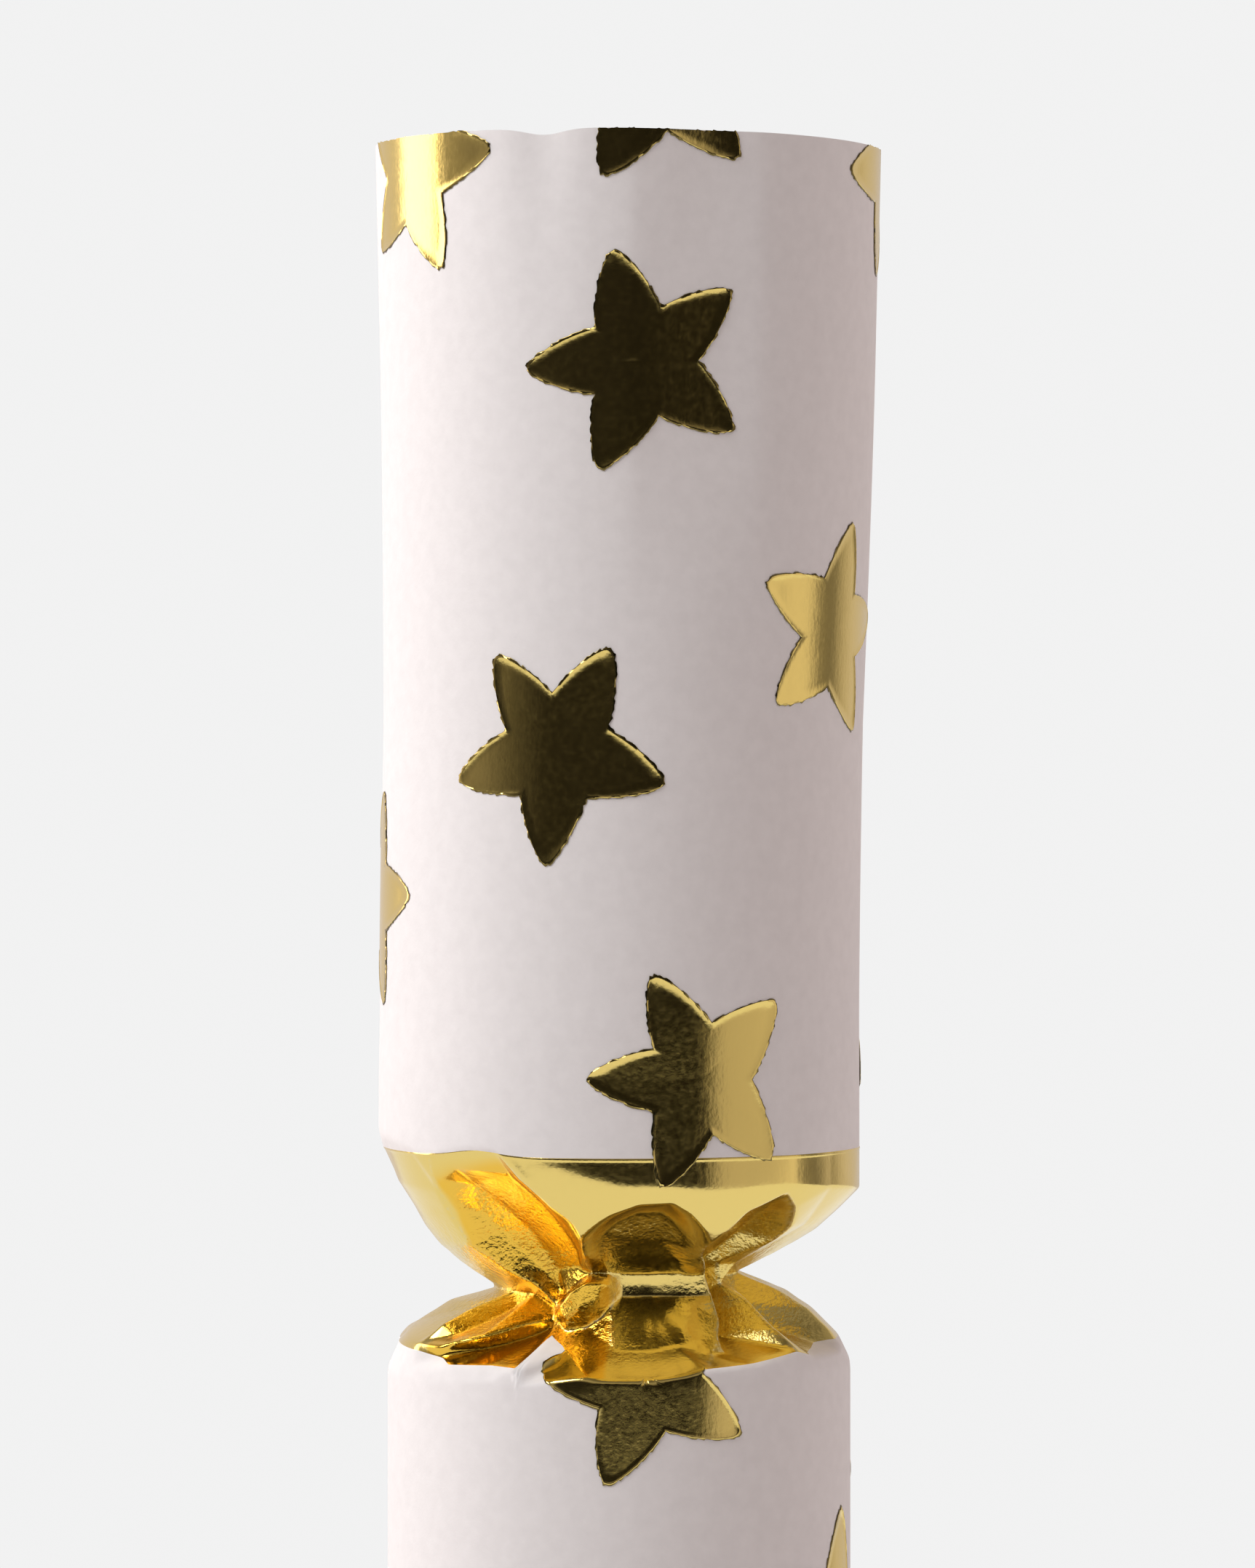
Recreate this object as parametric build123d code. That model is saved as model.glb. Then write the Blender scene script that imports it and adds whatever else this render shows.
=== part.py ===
from build123d import *

import math
import os

# A christmas cracker standing on end, in millimetres.
# The origin is the centre of the lower rim and +Z runs up the cracker's axis.
# One printed paper sheet is rolled round three card tubes and gathered into two chokes. It is cut here at
# the waist of each choke, where the real sheet tears, and at the edges of its gold bands.

# Lengths along the axis
END_LENGTH = 94.0  # rim of an end to the waist of its choke
CHOKE_END_HEIGHT = 7.3  # waist to the round edge on the end's side
BAND_RISE = 3.6  # the gold band runs this far up the end past that edge
CHOKE_BARREL_HEIGHT = 7.6  # waist to the round edge on the barrel's side
BARREL_LENGTH = 101.8  # round edge to round edge
FLARE_LENGTH = 48.0  # the part of an end that opens out towards its rim
TUBE_SETBACK = 12.0  # the end tube stops this far short of the rim
BARREL_TUBE_SETBACK = 0.6  # the barrel tube stops this far short of the folds at both ends
FILLING_LIFT = 1.0  # what lies in the barrel sits this far above the lower folds

# Outer radii of the paper
END_RADIUS = 20.0
RIM_RADIUS = 21.05
BARREL_RADIUS = 19.25
WAIST_RIDGE_RADIUS = 10.3
WAIST_VALLEY_RADIUS = 7.0

# The gathered paper part of the way up each side of a choke
END_SIDE_MID_HEIGHT = 3.3
END_SIDE_MID_RIDGE = 15.5
END_SIDE_MID_VALLEY = 11.0
BARREL_SIDE_MID_HEIGHT = 2.5
BARREL_SIDE_MID_RIDGE = 15.8
BARREL_SIDE_MID_VALLEY = 12.0
RIDGE_ANGLES = (-62, -17, 44, 64, 96, 138, 182, 228, 270)  # degrees round from the front, -Y, towards +X

# Walls and fits
PAPER = 0.3
PLEAT_WALL = 0.42  # the paper measured radially across a slanting pleat
TUBE_WALL = 0.8
GLUE_GAP = 0.05  # between a tube and the paper round it
LOOSE_GAP = 0.3  # round what lies loose in the barrel

# The snap: two card strips that lap at the middle, in a paper sleeve
SNAP_WIDTH = 6.5
SNAP_CARD = 0.35
SNAP_GAP = 0.4  # between the two strips
SNAP_OFFSET = 3.6  # the lap's middle lies this far behind the axis, inside the waists
SNAP_OVERLAP = 24.0
SNAP_BEND_RADIUS = 20.0
SNAP_SLANT_LENGTH = 28.0  # height over which a strip crosses to the end tube's wall
SNAP_GLUED_LENGTH = 25.0  # stuck to the end tube's wall
SLEEVE_LENGTH = 32.0
SLEEVE_WALL = 0.3
SLEEVE_CLEARANCE = 0.15  # round the strip that pulls out
PAD_LENGTH = 8.0
PAD_THICKNESS = 0.12
PAD_MARGIN = 1.0  # bare card between a pad and the edges of its strip

# What the barrel holds
CROWN_LENGTH = 75.0
CROWN_CORE_RADIUS = 1.6
CROWN_BAND_WALL = 0.6
CROWN_BAND_HEIGHT = 3.0
MOTTO_LENGTH = 60.0
MOTTO_RADIUS = 3.2
MOTTO_CORE_RADIUS = 1.7
MOTTO_ANGLE = 240  # degrees round from the front towards +X
DISC_THICKNESS = 7.0
DISC_EDGE_RADIUS = 2.0
PEG_RADIUS = 1.5
PEG_FIT = 0.02  # between the peg and the disc's bore
PEG_TIP_LENGTH = 3.5
PEG_HANDLE_LENGTH = 14.0
PEG_ROUNDING = 1.2

# Heights worked out from the lengths above
BAND_EDGE = CHOKE_END_HEIGHT + BAND_RISE  # above the waist
LOWER_WAIST = END_LENGTH
BARREL_BOTTOM = LOWER_WAIST + CHOKE_BARREL_HEIGHT
BARREL_TOP = BARREL_BOTTOM + BARREL_LENGTH
FILLING_FLOOR = BARREL_BOTTOM + FILLING_LIFT
UPPER_WAIST = BARREL_TOP + CHOKE_BARREL_HEIGHT
TOTAL_LENGTH = UPPER_WAIST + END_LENGTH
MIDDLE = TOTAL_LENGTH / 2

# Bores and places worked out from the walls and fits above
END_TUBE_RADIUS = END_RADIUS - PAPER - GLUE_GAP
END_TUBE_BORE = END_TUBE_RADIUS - TUBE_WALL
BARREL_TUBE_RADIUS = BARREL_RADIUS - PAPER - GLUE_GAP
BARREL_TUBE_BORE = BARREL_TUBE_RADIUS - TUBE_WALL
LOOSE_REACH = BARREL_TUBE_BORE - LOOSE_GAP
STRIP_OFFSET = (SNAP_GAP + SNAP_CARD) / 2  # from the lap's middle to the middle of a strip
LOWER_STRIP_Y = SNAP_OFFSET - STRIP_OFFSET
UPPER_STRIP_Y = SNAP_OFFSET + STRIP_OFFSET
SLEEVE_FRONT = LOWER_STRIP_Y - SNAP_CARD / 2 - SLEEVE_WALL
SLEEVE_BACK = UPPER_STRIP_Y + SNAP_CARD / 2 + SLEEVE_CLEARANCE + SLEEVE_WALL


def polar(radius, angle, z):
    """The point at that radius and height, at an angle in degrees round from the front."""
    turn = math.radians(angle)
    return Vector(radius * math.sin(turn), -radius * math.cos(turn), z)


def fold_angles():
    """The angles of the ridges and of the valleys halfway between them, in order round the axis."""
    angles = []
    for ridge, next_ridge in zip(RIDGE_ANGLES, RIDGE_ANGLES[1:] + (RIDGE_ANGLES[0] + 360,)):
        angles += [ridge, (ridge + next_ridge) / 2]
    return angles


def pleated_outline(z, ridge_radius, valley_radius):
    """A closed zigzag of straight pleats at height z."""
    radii = [ridge_radius, valley_radius] * len(RIDGE_ANGLES)
    corners = [polar(radius, angle, z) for radius, angle in zip(radii, fold_angles())]
    return Wire.make_polygon(corners, close=True)


def round_outline(z, radius):
    """A circle at height z, in arcs that end at the same angles as the pleats."""
    starts = fold_angles()
    ends = starts[1:] + [starts[0] + 360]
    arcs = [
        Edge.make_three_point_arc(polar(radius, a, z), polar(radius, (a + b) / 2, z), polar(radius, b, z))
        for a, b in zip(starts, ends)
    ]
    return Wire(arcs)


def choke_half(height, edge_radius, mid_height, mid_ridge, mid_valley):
    """Gathered paper from the waist at z = 0 up to a round edge at z = height."""
    skins = []
    for pleat_inset, edge_inset in ((0, 0), (PLEAT_WALL, PAPER)):
        outlines = [
            pleated_outline(0, WAIST_RIDGE_RADIUS - pleat_inset, WAIST_VALLEY_RADIUS - pleat_inset),
            pleated_outline(mid_height, mid_ridge - pleat_inset, mid_valley - pleat_inset),
            round_outline(height, edge_radius - edge_inset),
        ]
        skins.append(Solid.make_loft(outlines, ruled=True))
    outer, inner = skins
    return outer - inner


def choke_end_side():
    """The gathered half on the end's side, with the rest of the gold band round the end above it."""
    gathered = choke_half(
        CHOKE_END_HEIGHT,
        END_RADIUS,
        END_SIDE_MID_HEIGHT,
        END_SIDE_MID_RIDGE,
        END_SIDE_MID_VALLEY,
    )
    return gathered + tube(END_RADIUS, PAPER, CHOKE_END_HEIGHT, BAND_EDGE)


def choke_barrel_side():
    """The gathered half on the barrel's side."""
    return choke_half(
        CHOKE_BARREL_HEIGHT,
        BARREL_RADIUS,
        BARREL_SIDE_MID_HEIGHT,
        BARREL_SIDE_MID_RIDGE,
        BARREL_SIDE_MID_VALLEY,
    )


def upright(solid):
    """A solid modelled with its waist at z = 0, placed at the upper choke."""
    return Pos(0, 0, UPPER_WAIST) * solid


def upended(solid):
    """The same solid turned over in the waist's plane, placed at the lower choke."""
    return Pos(0, 0, LOWER_WAIST) * mirror(solid, about=Plane.XY)


def end_wrapper():
    """The paper of one end, straight above its choke and flared to the rim, with the waist at z = 0."""
    flare_start = END_LENGTH - FLARE_LENGTH
    inset = END_RADIUS - PAPER
    foot = BAND_EDGE
    outline = [
        Line((END_RADIUS, foot), (END_RADIUS, flare_start)),
        TangentArc((END_RADIUS, flare_start), (RIM_RADIUS, END_LENGTH), tangent=(0, 1)),
        Line((RIM_RADIUS, END_LENGTH), (RIM_RADIUS - PAPER, END_LENGTH)),
        TangentArc((inset, flare_start), (RIM_RADIUS - PAPER, END_LENGTH), tangent=(0, 1)),
        Line((inset, flare_start), (inset, foot)),
        Line((inset, foot), (END_RADIUS, foot)),
    ]
    return revolve(Plane.XZ * make_face(outline), Axis.Z)


def tube(outer_radius, wall, bottom, top):
    """A plain tube on the axis between two heights."""
    ring = Circle(outer_radius) - Circle(outer_radius - wall)
    return Pos(0, 0, bottom) * extrude(ring, top - bottom)


def end_tube():
    """The card tube inside an end, with the waist at z = 0."""
    return tube(END_TUBE_RADIUS, TUBE_WALL, BAND_EDGE, END_LENGTH - TUBE_SETBACK)


def barrel_tube():
    """The card tube inside the barrel."""
    bottom = BARREL_BOTTOM + BARREL_TUBE_SETBACK
    return tube(BARREL_TUBE_RADIUS, TUBE_WALL, bottom, BARREL_TOP - BARREL_TUBE_SETBACK)


def snap_strip(strip_y):
    """One card strip of the snap, from the lap at the middle to the wall of an end tube, waist at z = 0."""
    glued_face = math.sqrt((END_TUBE_BORE - GLUE_GAP) ** 2 - (SNAP_WIDTH / 2) ** 2)
    wall_y = glued_face - SNAP_CARD / 2
    lap_end = MIDDLE - UPPER_WAIST - SNAP_OVERLAP / 2
    slant_start = CHOKE_END_HEIGHT
    slant_end = slant_start + SNAP_SLANT_LENGTH
    path = FilletPolyline(
        (0, strip_y, lap_end),
        (0, strip_y, slant_start),
        (0, wall_y, slant_end),
        (0, wall_y, slant_end + SNAP_GLUED_LENGTH),
        radius=SNAP_BEND_RADIUS,
    )
    section = Plane(origin=path @ 0, x_dir=(1, 0, 0), z_dir=path % 0) * Rectangle(SNAP_WIDTH, SNAP_CARD)
    return sweep(section, path=path)


def snap_pad(face_y, outward, far_edge, towards_middle):
    """A thin coated patch on a strip's face, PAD_MARGIN in from the strip's end at the height far_edge."""
    start = far_edge + towards_middle * PAD_MARGIN
    centre_z = start + towards_middle * PAD_LENGTH / 2
    patch = Box(SNAP_WIDTH - 2 * PAD_MARGIN, PAD_THICKNESS, PAD_LENGTH)
    return Pos(0, face_y + outward * PAD_THICKNESS / 2, centre_z) * patch


def snap_charge():
    """The friction charge, on the lower strip's face towards the upper strip."""
    return snap_pad(LOWER_STRIP_Y + SNAP_CARD / 2, 1, MIDDLE + SNAP_OVERLAP / 2, -1)


def snap_striker():
    """The abrasive that is dragged across the charge, on the upper strip's face."""
    return snap_pad(UPPER_STRIP_Y - SNAP_CARD / 2, -1, MIDDLE - SNAP_OVERLAP / 2, 1)


def snap_sleeve():
    """The flat paper sleeve round the lap, stuck to the back of the lower strip."""
    depth = SLEEVE_BACK - SLEEVE_FRONT
    width = SNAP_WIDTH + 2 * (SLEEVE_CLEARANCE + SLEEVE_WALL)
    outside = Box(width, depth, SLEEVE_LENGTH)
    inside = Box(width - 2 * SLEEVE_WALL, depth - 2 * SLEEVE_WALL, SLEEVE_LENGTH)
    return Pos(0, (SLEEVE_FRONT + SLEEVE_BACK) / 2, MIDDLE) * (outside - inside)


def crown_place():
    """Centre and outer radius of the rolled crown's band, which fills the room behind the snap."""
    front = SLEEVE_BACK + LOOSE_GAP
    return (front + LOOSE_REACH) / 2, (LOOSE_REACH - front) / 2


def paper_crown():
    """The tissue hat, folded and rolled up."""
    centre_y, band_radius = crown_place()
    roll_radius = band_radius - CROWN_BAND_WALL
    roll = tube(roll_radius, roll_radius - CROWN_CORE_RADIUS, FILLING_FLOOR, FILLING_FLOOR + CROWN_LENGTH)
    return Pos(0, centre_y, 0) * roll


def crown_band():
    """The rubber band round the middle of the rolled crown."""
    centre_y, band_radius = crown_place()
    bottom = FILLING_FLOOR + (CROWN_LENGTH - CROWN_BAND_HEIGHT) / 2
    return Pos(0, centre_y, 0) * tube(band_radius, CROWN_BAND_WALL, bottom, bottom + CROWN_BAND_HEIGHT)


def motto_slip():
    """The rolled slip of paper with the motto, against the barrel's wall."""
    centre = polar(LOOSE_REACH - MOTTO_RADIUS, MOTTO_ANGLE, 0)
    roll = tube(MOTTO_RADIUS, MOTTO_RADIUS - MOTTO_CORE_RADIUS, FILLING_FLOOR, FILLING_FLOOR + MOTTO_LENGTH)
    return Pos(centre) * roll


def top_place():
    """Centre and radius of the spinning top's disc, which fills the room in front of the snap."""
    back = SLEEVE_FRONT - LOOSE_GAP
    return (back - LOOSE_REACH) / 2, (back + LOOSE_REACH) / 2


def top_disc():
    """The spinning top's disc, with a bore for its peg."""
    centre_y, disc_radius = top_place()
    disc = extrude(Circle(disc_radius), DISC_THICKNESS)
    disc = fillet(disc.edges(), min(DISC_EDGE_RADIUS, 0.45 * DISC_THICKNESS))
    disc -= extrude(Circle(PEG_RADIUS + PEG_FIT), DISC_THICKNESS)
    return Pos(0, centre_y, FILLING_FLOOR) * disc


def top_peg():
    """The spinning top's peg, with a rounded tip below the disc and a handle above it."""
    centre_y, _ = top_place()
    peg = extrude(Circle(PEG_RADIUS), PEG_TIP_LENGTH + DISC_THICKNESS + PEG_HANDLE_LENGTH)
    peg = fillet(peg.edges().filter_by(GeomType.CIRCLE), min(PEG_ROUNDING, 0.8 * PEG_RADIUS))
    return Pos(0, centre_y, FILLING_FLOOR - PEG_TIP_LENGTH) * peg


def pieces():
    """Every node of the cracker, by name."""
    return {
        "upper_end_wrapper": upright(end_wrapper()),
        "upper_choke_end_half": upright(choke_end_side()),
        "upper_choke_barrel_half": upright(mirror(choke_barrel_side(), about=Plane.XY)),
        "barrel_wrapper": tube(BARREL_RADIUS, PAPER, BARREL_BOTTOM, BARREL_TOP),
        "lower_choke_barrel_half": upended(mirror(choke_barrel_side(), about=Plane.XY)),
        "lower_choke_end_half": upended(choke_end_side()),
        "lower_end_wrapper": upended(end_wrapper()),
        "upper_end_tube": upright(end_tube()),
        "barrel_tube": barrel_tube(),
        "lower_end_tube": upended(end_tube()),
        "snap_upper_strip": upright(snap_strip(UPPER_STRIP_Y)),
        "snap_lower_strip": upended(snap_strip(LOWER_STRIP_Y)),
        "snap_sleeve": snap_sleeve(),
        "snap_charge": snap_charge(),
        "snap_striker": snap_striker(),
        "paper_crown": paper_crown(),
        "crown_band": crown_band(),
        "motto_slip": motto_slip(),
        "top_disc": top_disc(),
        "top_peg": top_peg(),
    }


os.makedirs("parts", exist_ok=True)
for name, solid in pieces().items():
    export_step(solid, f"parts/{name}.step")
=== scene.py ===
"""The looks of a christmas cracker on end: rolled paper with foil stars, gathered into two gold chokes."""
import math

import bpy
import numpy as np
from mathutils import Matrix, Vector
from mathutils.geometry import delaunay_2d_cdt


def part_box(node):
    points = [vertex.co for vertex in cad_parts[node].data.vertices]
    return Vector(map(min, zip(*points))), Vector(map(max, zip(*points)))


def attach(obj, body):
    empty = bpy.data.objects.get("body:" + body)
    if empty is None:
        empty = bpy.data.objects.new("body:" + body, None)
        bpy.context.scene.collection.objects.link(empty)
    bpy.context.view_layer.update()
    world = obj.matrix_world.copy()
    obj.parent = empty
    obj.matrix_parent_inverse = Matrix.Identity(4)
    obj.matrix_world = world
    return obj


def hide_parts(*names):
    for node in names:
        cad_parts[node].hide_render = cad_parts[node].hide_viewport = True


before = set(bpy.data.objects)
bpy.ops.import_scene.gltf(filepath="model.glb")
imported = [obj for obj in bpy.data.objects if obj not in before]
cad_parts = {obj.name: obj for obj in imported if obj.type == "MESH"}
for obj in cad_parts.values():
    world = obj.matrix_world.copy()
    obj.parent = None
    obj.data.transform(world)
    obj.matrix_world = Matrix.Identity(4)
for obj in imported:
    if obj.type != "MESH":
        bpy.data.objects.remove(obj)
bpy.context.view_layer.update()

MM = 0.001  # lengths below are in millimetres, angles in degrees round from the front, -Y, towards +X


def node_box(node):
    """Lowest and highest corner of a CAD node, in millimetres."""
    return [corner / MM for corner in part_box(node)]


# Sizes read from the frame
UPPER_WAIST = node_box("upper_choke_end_half")[0].z
LOWER_WAIST = node_box("lower_choke_end_half")[1].z
END_LENGTH = node_box("upper_end_wrapper")[1].z - UPPER_WAIST
BAND_EDGE = node_box("upper_end_wrapper")[0].z - UPPER_WAIST
RIM_RADIUS = node_box("upper_end_wrapper")[1].x
END_RADIUS = node_box("upper_choke_end_half")[1].x
BARREL_RADIUS = node_box("barrel_wrapper")[1].x
BARREL_LENGTH = UPPER_WAIST - LOWER_WAIST
TUBE_TOP = node_box("upper_end_tube")[1].z - UPPER_WAIST

# The wrapper sheet and the card inside it
PAPER = 0.18
FOIL = 0.04
SEAM_EDGE = 182  # the glued lap's outer edge, at the back
LAP = 24
LAP_STEP = 0.24  # the lower layer of the lap lies this far in
LAP_RISE = 4  # degrees over which the lower layer comes out again
CARD = 0.75
CARD_INSET = 0.46
SMOOTH_ANGLE = 50  # faces that meet at less than this are shaded smooth

# An end above its choke
FLARE_START = 46
ROUNDNESS = ((2, 0.10, 0.6), (3, 0.07, 2.0))  # waves round the end, size and start
ROUNDNESS_RISE = 8  # height above the folds over which they set in
LEAN_START, LEAN_END, LEAN = 18, 78, 0.7
FLAT_ANGLE, FLAT_HALF_WIDTH, FLAT_DEPTH = 16.5, 15, 0.70  # a flattened stretch below the rim
FLAT_ROUNDING = 0.2
FLAT_START, FLAT_FULL = 50, 74
RIM_SOFTNESS = 6.5  # how far below the rim a dent in it reaches
RIM_DENT = (-19, 6, 0.5)  # angle, half width, depth
RIM_CREASE = (9, 11, 0.25)
RIM_TILT = 0.2
BAND_PUSH = (-36, 9, 0.45)  # where a fold pushes the edge of the gold print up: angle, half width, rise
BAND_LIP, BAND_LIP_WIDTH = 0.05, 0.12  # the raised edge of the stamped foil
LIP_ROWS = (3, 2, 1, 0.4, 0)  # in lip widths below that edge


def level_run(radius, *places):
    """A crease at one radius, from its angles and heights."""
    return tuple((angle, height, radius) for angle, height in places)


def upright_run(angle, *places):
    """A crease at one angle, from its heights and radii."""
    return tuple((angle, height, radius) for height, radius in places)


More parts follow.
